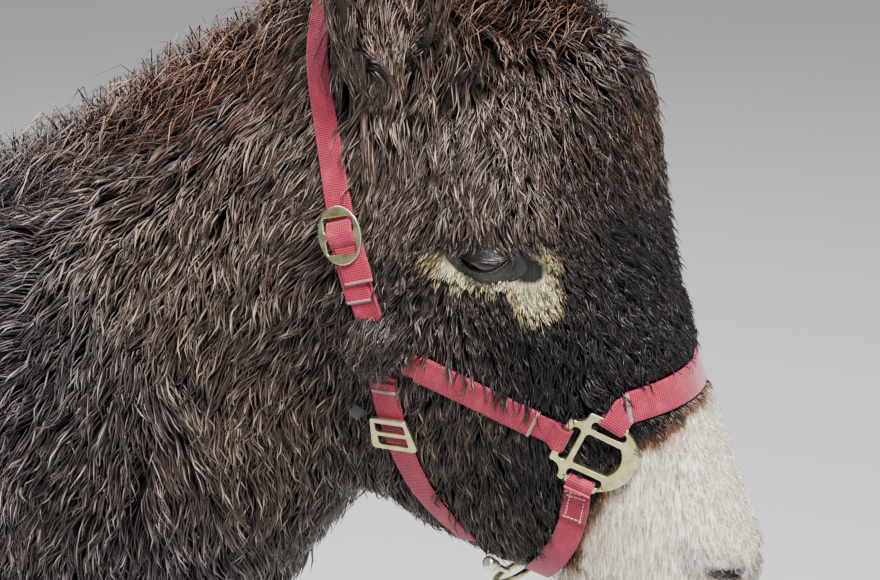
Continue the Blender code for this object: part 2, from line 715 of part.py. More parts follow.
def add_side_fittings(coat, name, side):
    """The slide of the crown strap, the ring where three straps meet, and the throat strap's buckle."""
    low, high = FITTING_LIFT, FITTING_LIFT + FITTING_THICKNESS
    ring_place = on_coat(coat, head_ray(RING_PLACE, side))

    frame = coat_frame(coat, head_ray(SLIDE_PLACE, side), ring_place)
    length, width = SLIDE_SIZE
    slots = two_slots(length / 2 - 2 * BUCKLE_BAR, width - 3 * BUCKLE_BAR, BUCKLE_BAR, 0.003)
    add_brass(f"halter_slide_{name}", plate_mesh(oval_outline(length, width), slots, low, high), frame)

    frame = coat_frame(coat, head_ray(BUCKLE_PLACE, side), ring_place)
    length, width = BUCKLE_SIZE
    slots = two_slots(length / 2 - 1.5 * BUCKLE_BAR, width - 2 * BUCKLE_BAR, BUCKLE_BAR, 0.001)
    outline = box_outline(length, width, BUCKLE_BAR)
    add_brass(f"halter_buckle_{name}", plate_mesh(outline, slots, low, high), frame)

    frame = coat_frame(coat, head_ray(RING_PLACE, side), on_coat(coat, head_ray(CHEEK_STRAP[-1], side)))
    frame = frame @ Matrix.Translation((0, 0, FITTING_LIFT + RING_WIRE))
    add_brass(f"halter_ring_{name}", ring_mesh(RING_RADIUS, RING_WIRE), frame)


def add_chin_fittings(coat):
    """The ring that hangs under the chin, and the snap that joins the right throat strap to it."""
    chin = on_coat(coat, head_ray(CHIN_RING_PLACE, 1))
    hang = chin - BROW_WAY * (CHIN_RING_RADIUS + CHIN_RING_WIRE + CHIN_RING_DROP)
    upright = Matrix((SIDE_WAY, BROW_WAY, NOSE_WAY)).transposed().to_4x4()
    ring = ring_mesh(CHIN_RING_RADIUS, CHIN_RING_WIRE)
    add_brass("halter_chin_ring", ring, Matrix.Translation(hang) @ upright)

    frame = coat_frame(coat, head_ray(SNAP_PLACE, -1), on_coat(coat, head_ray(THROAT_STRAP[-1], -1)))
    length, width = SNAP_SIZE
    slot = box_outline(length - 4 * BUCKLE_BAR, width - 2 * BUCKLE_BAR, BUCKLE_BAR / 2)
    low = 2 * FITTING_LIFT
    snap = plate_mesh(box_outline(length, width, BUCKLE_BAR), (slot,), low, low + SNAP_THICKNESS)
    add_brass("halter_snap", snap, frame)


def add_tag(coat):
    """The blank black tag beside the right buckle."""
    frame = coat_frame(coat, head_ray(TAG_PLACE, -1), on_coat(coat, head_ray(BUCKLE_PLACE, -1)))
    tag = plate_mesh(box_outline(*TAG_SIZE, 0.001), (), FITTING_LIFT, FITTING_LIFT + TAG_THICKNESS)
    add_part("halter_tag", placed(tag, frame), TAG_BLACK)


def add_halter(coat, head, mane):
    add_noseband(coat, head)
    add_crown(coat, head, mane)
    for name, side in (("right", -1), ("left", 1)):
        throat = THROAT_STRAP if side < 0 else (*THROAT_STRAP, THROAT_END)
        for strap, places in (("cheek", CHEEK_STRAP), ("throat", throat), ("chin", CHIN_STRAP)):
            rays = [head_ray(place, side) for place in places]
            add_strap(coat, f"halter_{strap}_{name}", rays, (head,))
        add_square(coat, head, f"halter_square_{name}", side)
        add_side_fittings(coat, name, side)
    add_chin_fittings(coat)
    add_tag(coat)


def add_leg(flesh, name, cuts, rows, side, step):
    """A leg down to its coronet, and its hoof below that."""
    x, y = rows[-1][1] + step, side * rows[-1][2]
    coronet = (Vector((x, y, CORONET_HEIGHT)), Vector((-CORONET_TILT, 0.0, 1.0)))
    half = flipped(MIDDLE) if side < 0 else MIDDLE
    add_part(name, parted(flesh, *cuts, half, coronet), DARK_COAT)
    add_part(f"hoof_{name}", parted(hoof_mesh(x, y), flipped(coronet)), HORN, 0.5)


def add_legs(flesh):
    fore = (FORELEG_CUT, flipped(FLANK))
    hind = (HINDLEG_CUT, FLANK, flipped(TAIL_CUT))
    for i, (name, side) in enumerate((("right", -1), ("left", 1))):
        add_leg(flesh, f"foreleg_{name}", fore, FORELEG, side, FORE_STEP[i])
        add_leg(flesh, f"hindleg_{name}", hind, HINDLEG, side, HIND_STEP[i])


def add_head(flesh):
    """The head with its eyes and ears."""
    head = add_part("head", parted(flesh, HEAD_CUT), RED_COAT)
    for name, side in (("right", -1), ("left", 1)):
        cut_away(head, add_cutter(f"eye_hollow_{name}", eye_hollow_mesh(side)))
        cut_away(head, add_cutter(f"eye_socket_{name}", eye_mesh(side, EYE_RADIUS + FIT_GAP)))
        add_part(f"eye_{name}", eye_mesh(side), EYE_BLACK, 0.1)
        ear = add_part(f"ear_{name}", ear_mesh(side), GREY_COAT)
        cut_away(ear, add_cutter(f"ear_{name}_root", grown(flesh, FIT_GAP)))
    return head


def centre():
    """Moves everything so that the middle of the animal's length and width is over the origin."""
    parts = [obj for obj in bpy.data.objects if not obj.hide_render]
    for axis in (0, 1):
        places = [vertex.co[axis] for obj in parts for vertex in obj.data.vertices]
        shift = Vector()
        shift[axis] = -(min(places) + max(places)) / 2
        for obj in bpy.data.objects:
            obj.data.transform(Matrix.Translation(shift))


def build():
    for obj in list(bpy.data.objects):
        bpy.data.objects.remove(obj)
    flesh = blended_flesh()
    behind = [flipped(cut) for cut in (HEAD_CUT, NECK_CUT, FORELEG_CUT, HINDLEG_CUT, TAIL_CUT)]
    add_part("trunk", parted(flesh, *behind), DARK_COAT)
    add_part("neck", parted(flesh, NECK_CUT, flipped(HEAD_CUT)), DARK_COAT)
    add_part("tail", parted(flesh, TAIL_CUT), DARK_COAT)
    add_legs(flesh)
    head = add_head(flesh)
    crest = crest_mesh()
    coat = coat_of(flesh, crest)
    mane = add_part("mane", crest, RED_COAT)
    cut_away(mane, add_cutter("mane_bed", grown(flesh, FIT_GAP)))
    add_halter(coat, head, mane)
    centre()


build()
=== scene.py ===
# A life-size donkey in a webbing halter: its skin, coat, eyes and halter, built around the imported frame.
import math

import bmesh
import bpy
import numpy as np
from mathutils import Matrix, Vector
from mathutils.bvhtree import BVHTree
from mathutils.kdtree import KDTree


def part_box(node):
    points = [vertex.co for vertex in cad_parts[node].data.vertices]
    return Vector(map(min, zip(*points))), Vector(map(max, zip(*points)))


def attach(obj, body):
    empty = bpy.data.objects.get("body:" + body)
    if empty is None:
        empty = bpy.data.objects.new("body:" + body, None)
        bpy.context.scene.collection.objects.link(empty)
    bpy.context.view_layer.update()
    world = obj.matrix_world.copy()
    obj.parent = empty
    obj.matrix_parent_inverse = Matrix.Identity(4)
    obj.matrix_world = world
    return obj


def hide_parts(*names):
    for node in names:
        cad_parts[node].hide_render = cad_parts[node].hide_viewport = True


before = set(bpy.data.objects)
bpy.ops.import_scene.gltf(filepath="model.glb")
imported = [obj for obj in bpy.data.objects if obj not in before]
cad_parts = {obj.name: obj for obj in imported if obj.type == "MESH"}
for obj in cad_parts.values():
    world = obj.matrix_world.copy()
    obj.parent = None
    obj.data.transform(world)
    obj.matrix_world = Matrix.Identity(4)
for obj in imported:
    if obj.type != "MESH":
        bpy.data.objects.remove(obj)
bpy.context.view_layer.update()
rng = np.random.default_rng(11)
print("frame loaded:", len(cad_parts), "nodes")

# The head's own directions: down the nose, out of the face, and to the left. The eyes say where it is.
headPitch = math.radians(60)
noseWay = Vector((math.cos(headPitch), 0, -math.sin(headPitch)))
browWay = Vector((math.sin(headPitch), 0, math.cos(headPitch)))
leftWay = Vector((0, 1, 0))
eyeFromPoll = {"along": 0.180, "rise": -0.074}


def middle(node):
    low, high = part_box(node)
    return (low + high) / 2


poll = middle("eye_right") - noseWay * eyeFromPoll["along"] - browWay * eyeFromPoll["rise"]
poll.y = 0
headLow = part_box("head")[0]


def onHead(along, rise, side=0.0):
    return poll + noseWay * along + browWay * rise + leftWay * side


def inBox(node, x, y, z):
    # a place in a node's box, each share running from -1 to 1
    low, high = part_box(node)
    return Vector([(a + b) / 2 + (b - a) / 2 * share for a, b, share in zip(low, high, (x, y, z))])


def smoothStep(low, high, value):
    t = np.clip((value - low) / (high - low), 0, 1)
    return t * t * (3 - 2 * t)


def linear(code):
    # an sRGB hex colour as the linear values that the shaders take
    parts = [int(code[i:i + 2], 16) / 255 for i in (1, 3, 5)]
    return np.array([p / 12.92 if p <= 0.04045 else ((p + 0.055) / 1.055) ** 2.4 for p in parts])


def rgba(code):
    return (*linear(code), 1)


def mixed(a, b, share):
    return a * (1 - share) + b * share


def paint(mesh, name, colours):
    # keeps a linear colour for each vertex of the mesh
    whole = np.concatenate([colours, np.ones((*colours.shape[:-1], 1))], -1)
    layer = mesh.color_attributes.new(name, "FLOAT_COLOR", "POINT")
    layer.data.foreach_set("color", whole.astype(np.float32).ravel())


def addNode(tree, kind, settings=None, links=None):
    node = tree.nodes.new(kind)
    for key, value in (settings or {}).items():
        if isinstance(key, str) and hasattr(node, key):
            setattr(node, key, value)
        else:
            node.inputs[key].default_value = value
    for key, socket in (links or {}).items():
        tree.links.new(socket, node.inputs[key])
    return node


def newMaterial(name, settings):
    material = bpy.data.materials.new(name)
    material.use_nodes = True
    tree = material.node_tree
    tree.nodes.clear()
    shader = addNode(tree, "ShaderNodeBsdfPrincipled", settings)
    addNode(tree, "ShaderNodeOutputMaterial", links={"Surface": shader.outputs[0]})
    return material, tree, shader


def objectSpace(tree):
    return addNode(tree, "ShaderNodeTexCoord").outputs["Object"]


def scaledSpace(tree, socket, scale):
    return addNode(tree, "ShaderNodeMapping", {"Scale": scale}, {"Vector": socket}).outputs["Vector"]


def addNoise(tree, socket, settings):
    return addNode(tree, "ShaderNodeTexNoise", settings, {"Vector": socket}).outputs["Fac"]


def addRange(tree, socket, fromLow, fromHigh, toLow=0.0, toHigh=1.0):
    settings = {"From Min": fromLow, "From Max": fromHigh, "To Min": toLow, "To Max": toHigh}
    return addNode(tree, "ShaderNodeMapRange", settings, {"Value": socket}).outputs[0]


def addScaled(tree, socket, factor, added):
    # the socket times a factor, plus another socket
    settings = {"operation": "MULTIPLY_ADD", 1: factor}
    return addNode(tree, "ShaderNodeMath", settings, {0: socket, 2: added}).outputs[0]


def addWave(tree, socket, period, phase=0.0):
    turned = addNode(tree, "ShaderNodeMath", {"operation": "MULTIPLY_ADD", 1: 2 * math.pi / period, 2: phase},
                     {0: socket})
    return addNode(tree, "ShaderNodeMath", {"operation": "SINE"}, {0: turned.outputs[0]}).outputs[0]


def addRamp(tree, socket, *stops):
    # the socket as a colour between two stops, each a position and a hex colour
    ramp = addNode(tree, "ShaderNodeValToRGB", links={"Fac": socket})
    for element, (position, code) in zip(ramp.color_ramp.elements, stops):
        element.position, element.color = position, rgba(code)
    return ramp.outputs["Color"]


def addOver(tree, share, socket, code):
    # a hex colour over the socket's, by that share
    settings = {"data_type": "RGBA", 7: rgba(code)}
    return addNode(tree, "ShaderNodeMix", settings, {0: share, 6: socket}).outputs[2]


def addBump(tree, shader, socket, strength, distance):
    bump = addNode(tree, "ShaderNodeBump", {"Strength": strength, "Distance": distance}, {"Height": socket})
    tree.links.new(bump.outputs["Normal"], shader.inputs["Normal"])


def addHairLook(tree, shader, socket, noise, spread, strength, distance):
    # the hair's own colour, streaked by noise that the socket stretches along it, and its relief
    colour = addNode(tree, "ShaderNodeVertexColor", {"layer_name": "hairColour"})
    strands = addNoise(tree, socket, noise)
    streaked = addNode(tree, "ShaderNodeVectorMath", {"operation": "SCALE"},
                       {0: colour.outputs["Color"], "Scale": addRange(tree, strands, *spread)})
    tree.links.new(streaked.outputs[0], shader.inputs["Base Color"])
    addBump(tree, shader, strands, strength, distance)


def headWay(along, rise, out=0.0):
    return noseWay * along + browWay * rise - leftWay * out


# Each guide: where it is, which way its hair lies, the hair's length and the coat's depth in mm, how far it
# waves in mm, and how much it stands up. Guides are on the right; those off the middle are mirrored.
headGuides = [
    # forehead, brow and nose
    ((0.000, 0.030, 0.00), (0.5, 0.8), 50, 26, 7, 0.5),
    ((0.060, 0.060, 0.00), (0.8, 0.6), 40, 20, 7, 0.5),
    ((0.100, 0.050, -0.035), (0.9, 0.30, 0.3), 34, 16, 6, 0.45),
    ((0.150, 0.035, 0.00), (0.95, 0.25), 28, 14, 5, 0.45),
    ((0.075, 0.000, -0.065), (0.95, -0.1, 0.3), 34, 16, 5, 0.5),
    ((0.125, -0.045, -0.100), (0.93, -0.50, 0.1), 30, 14, 3, 0.35),
    ((0.145, -0.010, -0.085), (0.93, -0.40, 0.1), 28, 13, 3, 0.4),
    ((0.200, 0.015, 0.00), (0.95, 0.35), 22, 12, 4, 0.55),
    ((0.260, 0.000, 0.00), (0.95, 0.40), 20, 11, 4, 0.5),
    ((0.260, -0.030, -0.065), (1.0, 0.05, 0.1), 24, 12, 4, 0.35),
    ((0.310, -0.005, 0.00), (1.0, 0.15), 14, 8, 2, 0.3),
    # muzzle and chin
    ((0.360, -0.015, 0.00), (1.0, 0.0), 10, 5.5, 0.6, 0.15),
    ((0.370, -0.060, -0.060), (1.0, -0.1), 11, 6, 0.7, 0.15),
    ((0.430, -0.030, -0.020), (1.0, 0.0), 8, 4, 0.4, 0.1),
    ((0.430, -0.080, -0.055), (1.0, -0.1), 9, 4, 0.5, 0.1),
    ((0.490, -0.090, 0.00), (0.9, -0.3), 4, 2.2, 0.2, 0.1),
    ((0.400, -0.150, -0.050), (0.95, -0.35), 16, 7, 1.5, 0.2),
    ((0.470, -0.160, 0.00), (0.8, -0.6), 12, 5, 1, 0.3),
    ((0.400, -0.240, 0.00), (0.87, -0.5), 24, 10, 2, 0.3),
    # round the eye
    ((0.212, -0.080, -0.100), (0.95, -0.30), 9, 5, 0.5, 0.15),
    ((0.160, -0.108, -0.105), (0.5, -0.85), 11, 6, 0.6, 0.2),
    ((0.198, -0.030, -0.088), (1.0, 0.0), 10, 6, 0.6, 0.2),
    ((0.235, -0.064, -0.094), (1.0, -0.1), 12, 7, 0.8, 0.2),
    # cheek, jaw and throat
    ((0.265, -0.095, -0.090), (0.92, -0.45), 32, 13, 3, 0.2),
    ((0.200, -0.150, -0.108), (0.66, -0.90), 42, 17, 4, 0.25),
    ((0.270, -0.170, -0.092), (0.80, -0.70), 42, 17, 4, 0.25),
    ((0.330, -0.140, -0.075), (0.95, -0.45), 30, 12, 3, 0.2),
    ((0.330, -0.220, -0.060), (0.87, -0.55), 38, 15, 4, 0.25),
    ((0.240, -0.310, -0.040), (0.87, -0.60), 42, 18, 5, 0.3),
    ((0.300, -0.310, 0.000), (0.87, -0.50), 40, 16, 5, 0.4),
    ((0.170, -0.270, -0.090), (0.75, -0.85), 48, 20, 6, 0.3),
    ((0.120, -0.300, -0.050), (0.80, -0.70), 52, 22, 7, 0.35),
    ((0.110, -0.110, -0.108), (0.80, -0.62), 42, 17, 4, 0.25),
    ((0.110, -0.190, -0.105), (0.70, -0.80), 46, 19, 4, 0.25),
    ((0.055, -0.075, -0.092), (0.90, -0.50), 42, 17, 4, 0.3),
    ((0.040, -0.160, -0.090), (0.75, -0.75), 48, 20, 4, 0.3),
]
boxGuides = [  # the same, with places as shares of a node's box
    # neck
    ("neck", (0.80, -0.60, 0.45), (-0.15, 0, -1), 52, 24, 5, 0.3),
    ("neck", (0.75, -0.70, -0.10), (0.10, 0, -1), 56, 25, 5, 0.3),
    ("neck", (0.20, -0.75, 0.35), (-0.60, 0, -1), 48, 25, 5, 0.35),
    ("neck", (0.10, -0.90, -0.15), (-0.45, 0, -1), 52, 26, 5, 0.3),
    ("neck", (-0.60, -0.90, 0.15), (-0.65, 0, -1), 48, 25, 5, 0.35),
    ("neck", (0.60, -0.50, -0.75), (0.05, 0, -1), 50, 24, 5, 0.3),
    ("neck", (-0.10, -0.20, 0.75), (-0.80, -0.4, -0.4), 44, 25, 5, 0.5),
    ("neck", (-0.70, -0.25, 0.35), (-0.80, -0.4, -0.4), 44, 25, 5, 0.5),
    # trunk
    ("trunk", (0.75, -0.20, 0.95), (-1, -0.3, -0.1), 44, 25, 4, 0.4),
    ("trunk", (0.00, -0.20, 0.92), (-1, -0.3, -0.05), 40, 22, 3, 0.35),
    ("trunk", (-0.70, -0.20, 0.95), (-0.9, -0.3, -0.3), 38, 20, 3, 0.3),
    ("trunk", (0.45, -0.95, 0.35), (-0.7, 0, -1), 46, 23, 4, 0.3),
    ("trunk", (0.00, -1.00, 0.30), (-1, 0, -0.7), 46, 22, 4, 0.3),
    ("trunk", (-0.10, -0.90, -0.45), (-0.8, 0, -1), 48, 22, 4, 0.3),
    ("trunk", (-0.10, -0.25, -0.85), (-0.8, 0, -0.5), 44, 22, 4, 0.4),
    ("trunk", (-0.70, -0.90, 0.25), (-0.6, 0, -1), 40, 19, 3, 0.25),
    ("trunk", (-0.98, -0.50, 0.30), (-0.2, 0, -1), 36, 17, 3, 0.3),
    ("trunk", (0.72, -0.85, -0.10), (-0.35, 0, -1), 44, 21, 4, 0.3),
    ("trunk", (0.98, -0.30, -0.20), (0.1, 0, -1), 50, 23, 5, 0.35),
    # tail, with its long switch
    ("tail", (0.0, -0.5, 0.95), (-0.6, 0, -1), 34, 14, 2, 0.3),
    ("tail", (0.0, -0.5, 0.40), (0, 0, -1), 70, 16, 3, 0.1),
    ("tail", (0.0, -0.5, -0.30), (0, 0, -1), 130, 26, 5, 0.05),
    ("tail", (0.0, -0.5, -0.90), (0, 0, -1), 60, 9, 3, 0.0),
]
coatGuides = [(onHead(*place), headWay(*way), *sizes) for place, way, *sizes in headGuides]
coatGuides += [(inBox(node, *place), Vector(way), *sizes) for node, place, way, *sizes in boxGuides]
legGuides = [  # height share of the leg, length, depth, wave, stand
    (0.95, 34, 15, 2, 0.2),
    (0.35, 22, 10, 1.5, 0.2),
    (-0.10, 15, 6, 1, 0.15),
    (-0.55, 14, 5.5, 1, 0.15),
    (-0.92, 20, 6, 1, 0.3),
]
legWay = Vector((-0.15, 0, -1))
for leg in ("foreleg_right", "hindleg_right"):
    for height, *sizes in legGuides:
        for across in (-0.9, 0.9):
            coatGuides.append((inBox(leg, 0, across, height), legWay, *sizes))
# long hair hangs down round the base of an ear, turns outward, and lies up along the rest of it
earDown, earAside, earUp = Vector((0.15, -0.2, -1)), Vector((-0.8, -0.4, -0.3)), Vector((0.06, -0.13, 0.99))
earGuides = [  # height share of the ear, then way and sizes
    (-1.1, earDown, 44, 8, 4, 0.4),
    (-0.8, earDown, 50, 8, 4, 0.3),
    (-0.5, earDown, 46, 7, 3, 0.2),
    (-0.28, earAside, 36, 5.5, 3, 0.3),
    (0.0, earUp, 24, 4.5, 2, 0.15),
    (0.4, earUp, 18, 3.5, 1, 0.1),
    (0.8, earUp, 14, 3, 1, 0.1),
]
for height, way, *sizes in earGuides:
    coatGuides.append((inBox("ear_right", -0.3, -0.2, height), way, *sizes))

guidePlaces, guideWays, guideSizes = [], [], []
for place, way, *sizes in coatGuides:
    for mirror in ((1,) if abs(place.y) < 1e-6 else (1, -1)):
        guidePlaces.append((place.x, place.y * mirror, place.z))
        guideWays.append((way.x, way.y * mirror, way.z))
        guideSizes.append(sizes)
guidePlaces, guideWays, guideSizes = map(np.array, (guidePlaces, guideWays, guideSizes))
guideReach = 0.022  # within this distance of a guide the coat is all its own


def inParts(points):
    return np.array_split(points, max(1, len(points) // 20000))


def nearShares(points, places, reach, power):
    # how much each of the places counts at each point, by its nearness
    away = (points**2).sum(1)[:, None] + (places**2).sum(1)[None] - 2 * points @ places.T
    weight = 1 / (np.maximum(away, 0) + reach**2) ** power
    return weight / weight.sum(1)[:, None]


def groomed(points):
    # the way that the hair lies and its sizes at each point, from the guides near it
    ways, sizes = [], []
    for part in inParts(points):
        share = nearShares(part, guidePlaces, guideReach, 2.5)
        ways.append(share @ guideWays)
        sizes.append(share @ guideSizes)
    return np.concatenate(ways), np.concatenate(sizes)


# The skin: every part of the body in one surface, set in from the coat's outside by the coat's depth.
skinMake = {"grown": 0.0007, "voxel": 0.006, "smoothing": 14, "kept": 0.5, "fineAlong": 0.325,
            "fineRound": 0.045, "intoHoof": 0.014, "hoofLow": 0.062, "hoofHigh": 0.085}
fleshNodes = [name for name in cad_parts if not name.startswith(("halter_", "hoof_", "eye_"))]
strapKinds = ("halter_noseband", "halter_crown", "halter_cheek", "halter_throat", "halter_chin_")
strapNodes = [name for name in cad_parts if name.startswith(strapKinds) and name != "halter_chin_ring"]
squareNodes = ["halter_square_left", "halter_square_right"]
beddedNodes = strapNodes + squareNodes + ["eye_left", "eye_right"]


def welded(node):
    bm = bmesh.new()
    bm.from_mesh(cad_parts[node].data)
    bmesh.ops.remove_doubles(bm, verts=bm.verts, dist=1e-5)
    bmesh.ops.recalc_face_normals(bm, faces=bm.faces)
    return bm


def newObject(name, mesh):
    obj = bpy.data.objects.new(name, mesh)
    bpy.context.scene.collection.objects.link(obj)
    return obj


def madeObject(name, bm):
    bmesh.ops.recalc_face_normals(bm, faces=bm.faces)
    mesh = bpy.data.meshes.new(name)
    bm.to_mesh(mesh)
    bm.free()
    return newObject(name, mesh)


def read(items, key, width, kind=np.float32):
    flat = np.empty(len(items) * width, kind)
    items.foreach_get(key, flat)
    return flat.reshape(-1, width).astype(float) if kind == np.float32 else flat.reshape(-1, width)


def baked(obj):
    # puts the object's modifiers into its mesh
    mesh = bpy.data.meshes.new_from_object(obj.evaluated_get(bpy.context.evaluated_depsgraph_get()))
    obj.modifiers.clear()
    obj.data = mesh
    return mesh


def headPlaces(points):
    # along the nose, out of the face, and out from the middle, of each point
    away = points - np.array(poll)
    return away @ np.array(noseWay), away @ np.array(browWay), np.abs(points[:, 1])


eyeMiddles = [middle("eye_right"), middle("eye_left")]
muzzleMake = {"nostril": (0.4765, -0.047), "long": 0.017, "wide": 0.0055, "deep": 0.011, "rim": 0.0028,
              "mouthStart": (0.418, -0.158), "mouthEnd": (0.520, -0.128),
              "mouthDeep": 0.0030, "mouthHalf": 0.0022}


def onMuzzle(points):
    return points[:, 0] > headLow.x + 0.1


def nostrilShare(points):
    # 1 in the middle of a nostril, 0 at its rim, and less outside: a comma that opens forward
    along, rise, side = headPlaces(points)
    x, y = along - muzzleMake["nostril"][0], rise - muzzleMake["nostril"][1]
    x, y = x * 0.80 + y * 0.60, y * 0.80 - x * 0.60
    y = y - 6.0 * x * x
    share = 1 - np.hypot(x / muzzleMake["long"], y / muzzleMake["wide"])
    return np.where((side > 0.018) & onMuzzle(points), share, -9.0)


def nostrilDepth(points):
    share = nostrilShare(points)
    rim = muzzleMake["rim"] * np.exp(-((share + 0.35) / 0.35) ** 2)
    return muzzleMake["deep"] * smoothStep(0, 0.8, share) - rim


def mouthDepth(points):
    along, rise, _ = headPlaces(points)
    (ax, ay), (bx, by) = muzzleMake["mouthStart"], muzzleMake["mouthEnd"]
    share = np.clip((along - ax) / (bx - ax), 0, 1)
    far = np.abs(rise - ay - (by - ay) * share - 0.006 * np.sin(share * math.pi))
    near = (along > ax) & onMuzzle(points)
    line = muzzleMake["mouthDeep"] * np.exp(-(far / muzzleMake["mouthHalf"]) ** 2)
    return near * line * smoothStep(ax, ax + 0.02, along)


def makeSkin():
    joined = bmesh.new()
    for name in fleshNodes + beddedNodes:
        if name == "mane":  # all hair
            continue
        bm = welded(name)
        for vertex in bm.verts:
            vertex.co += vertex.normal * skinMake["grown"]
        part = bpy.data.meshes.new(name)
        bm.to_mesh(part)
        joined.from_mesh(part)
    mesh = bpy.data.meshes.new("skin")
    joined.to_mesh(mesh)
    skin = newObject("skin", mesh)
    remesh = skin.modifiers.new("remesh", "REMESH")
    remesh.mode = "VOXEL"
    remesh.voxel_size = skinMake["voxel"]
    smooth = skin.modifiers.new("smooth", "SMOOTH")
    smooth.factor = 0.5
    smooth.iterations = skinMake["smoothing"]
    mesh = baked(skin)
    points, normals = read(mesh.vertices, "co", 3), read(mesh.vertices, "normal", 3)
    points -= normals * (groomed(points)[1][:, 1] / 1000)[:, None]
    points[:, 2] -= skinMake["intoHoof"] * smoothStep(skinMake["hoofHigh"], skinMake["hoofLow"], points[:, 2])
    mesh.vertices.foreach_set("co", points.astype(np.float32).ravel())
    body = skin.vertex_groups.new(name="body")
    body.add(np.nonzero(points[:, 0] < headLow.x - 0.02)[0].tolist(), 1.0, "REPLACE")
    settle = skin.modifiers.new("settle", "SMOOTH")
    settle.factor = 0.5
    settle.iterations = 5
    fewer = skin.modifiers.new("fewer", "DECIMATE")
    fewer.ratio = skinMake["kept"]
    fewer.vertex_group = "body"
    baked(skin)
    # twice as fine where the hair is too short to hide it
    bm = bmesh.new()
    bm.from_mesh(skin.data)
    fine = [e for e in bm.edges if e.verts[0].co.x > headLow.x
            and ((e.verts[0].co - poll).dot(noseWay) > skinMake["fineAlong"]
                 or any((e.verts[0].co - eye).length < skinMake["fineRound"] for eye in eyeMiddles))]
    bmesh.ops.subdivide_edges(bm, edges=fine, cuts=1, use_grid_fill=True, smooth=0.5)
    bmesh.ops.triangulate(bm, faces=bm.faces)
    bm.to_mesh(skin.data)
    points, normals = read(skin.data.vertices, "co", 3), read(skin.data.vertices, "normal", 3)
    points -= normals * (nostrilDepth(points) + mouthDepth(points))[:, None]
    skin.data.vertices.foreach_set("co", points.astype(np.float32).ravel())
    skin.data.update()
    skin.data.shade_smooth()
    return skin


skin = makeSkin()


def unwrapped(obj):
    bpy.context.view_layer.objects.active = obj
    obj.select_set(True)
    bpy.ops.object.mode_set(mode="EDIT")
    bpy.ops.mesh.select_all(action="SELECT")
    bpy.ops.uv.smart_project(angle_limit=math.radians(66), island_margin=0.001)
    bpy.ops.object.mode_set(mode="OBJECT")
    obj.select_set(False)
    obj.data.uv_layers[0].name = "OFBake"


unwrapped(skin)
skinPoints = read(skin.data.vertices, "co", 3)
skinNormals = read(skin.data.vertices, "normal", 3)
skinFaces = read(skin.data.polygons, "vertices", 3, np.int32)
skinAreas = read(skin.data.polygons, "area", 1)[:, 0]
skinMap = read(skin.data.uv_layers["OFBake"].data, "uv", 2).reshape(-1, 3, 2)
skinTree = BVHTree.FromPolygons(skinPoints.tolist(), skinFaces.tolist(), all_triangles=True)
nodeTree = KDTree(sum(len(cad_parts[name].data.vertices) for name in fleshNodes))
for number, name in enumerate(fleshNodes):
    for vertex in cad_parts[name].data.vertices:
        nodeTree.insert(vertex.co, number)
nodeTree.balance()
nodeOfVertex = np.array([nodeTree.find(point)[1] for point in skinPoints.tolist()])
nodeOfFace = nodeOfVertex[skinFaces[:, 0]]
print("skin made:", len(skinFaces), "triangles")


# The straps and fittings that press the coat down.
def joinedTree(names):
    corners, faces = [], []
    for name in names:
        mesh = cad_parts[name].data
        faces += [[len(corners) + i for i in face.vertices] for face in mesh.polygons]
        corners += [tuple(vertex.co) for vertex in mesh.vertices]
    return BVHTree.FromPolygons(corners, faces)


halterTree = joinedTree(strapNodes + squareNodes)
halterLow = np.min([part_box(name)[0] for name in strapNodes], axis=0) - 0.03
halterHigh = np.max([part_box(name)[1] for name in strapNodes], axis=0) + 0.03


# Markings. Root, middle and tip of the hair, at spots over the body; the nearest spots blend.
# the near-black roots are partly the hair's own colour and partly painted shade between the locks; the pale
# tips are partly their own colour and partly painted highlight
hairColours = {
    "neck": ("#070505", "#1d1617", "#a5959a"),
    # the back's paler, bluer tips are painted highlight from the light above
    "back": ("#0e0b0d", "#332b2f", "#c0b3bd"),
    "crest": ("#150b08", "#371e15", "#976a52"),
    "brow": ("#0a0504", "#1c0f0b", "#745443"),
    "temple": ("#0b0806", "#33251f", "#bba698"),
    "cheek": ("#080605", "#231815", "#ad9a8f"),
    "nose": ("#050404", "#0e0b0b", "#403736"),
    "jaw": ("#080605", "#1e1411", "#84705f"),
    "throat": ("#0e0a08", "#3a2a22", "#bda996"),
    "belly": ("#453b34", "#7f7468", "#b0a596"),
    "leg": ("#0f0b0b", "#2a2220", "#6f635d"),
    "shin": ("#0d0a0a", "#231d1c", "#5d524d"),
    "switch": ("#0b0808", "#1c1614", "#574b46"),
    "ear": ("#120d0a", "#4a3b30", "#b8a793"),
    "muzzle": ("#8c8072", "#d3cab9", "#ece6d9"),
    "orange": ("#5c402a", "#a47550", "#c79c74"),
    "ring": ("#5a4c33", "#a18f66", "#c3b78f"),
    "underEye": ("#8f8767", "#c9c19c", "#d9d3b5"),
    "lip": ("#4a4341", "#77706d", "#8f8985"),
}
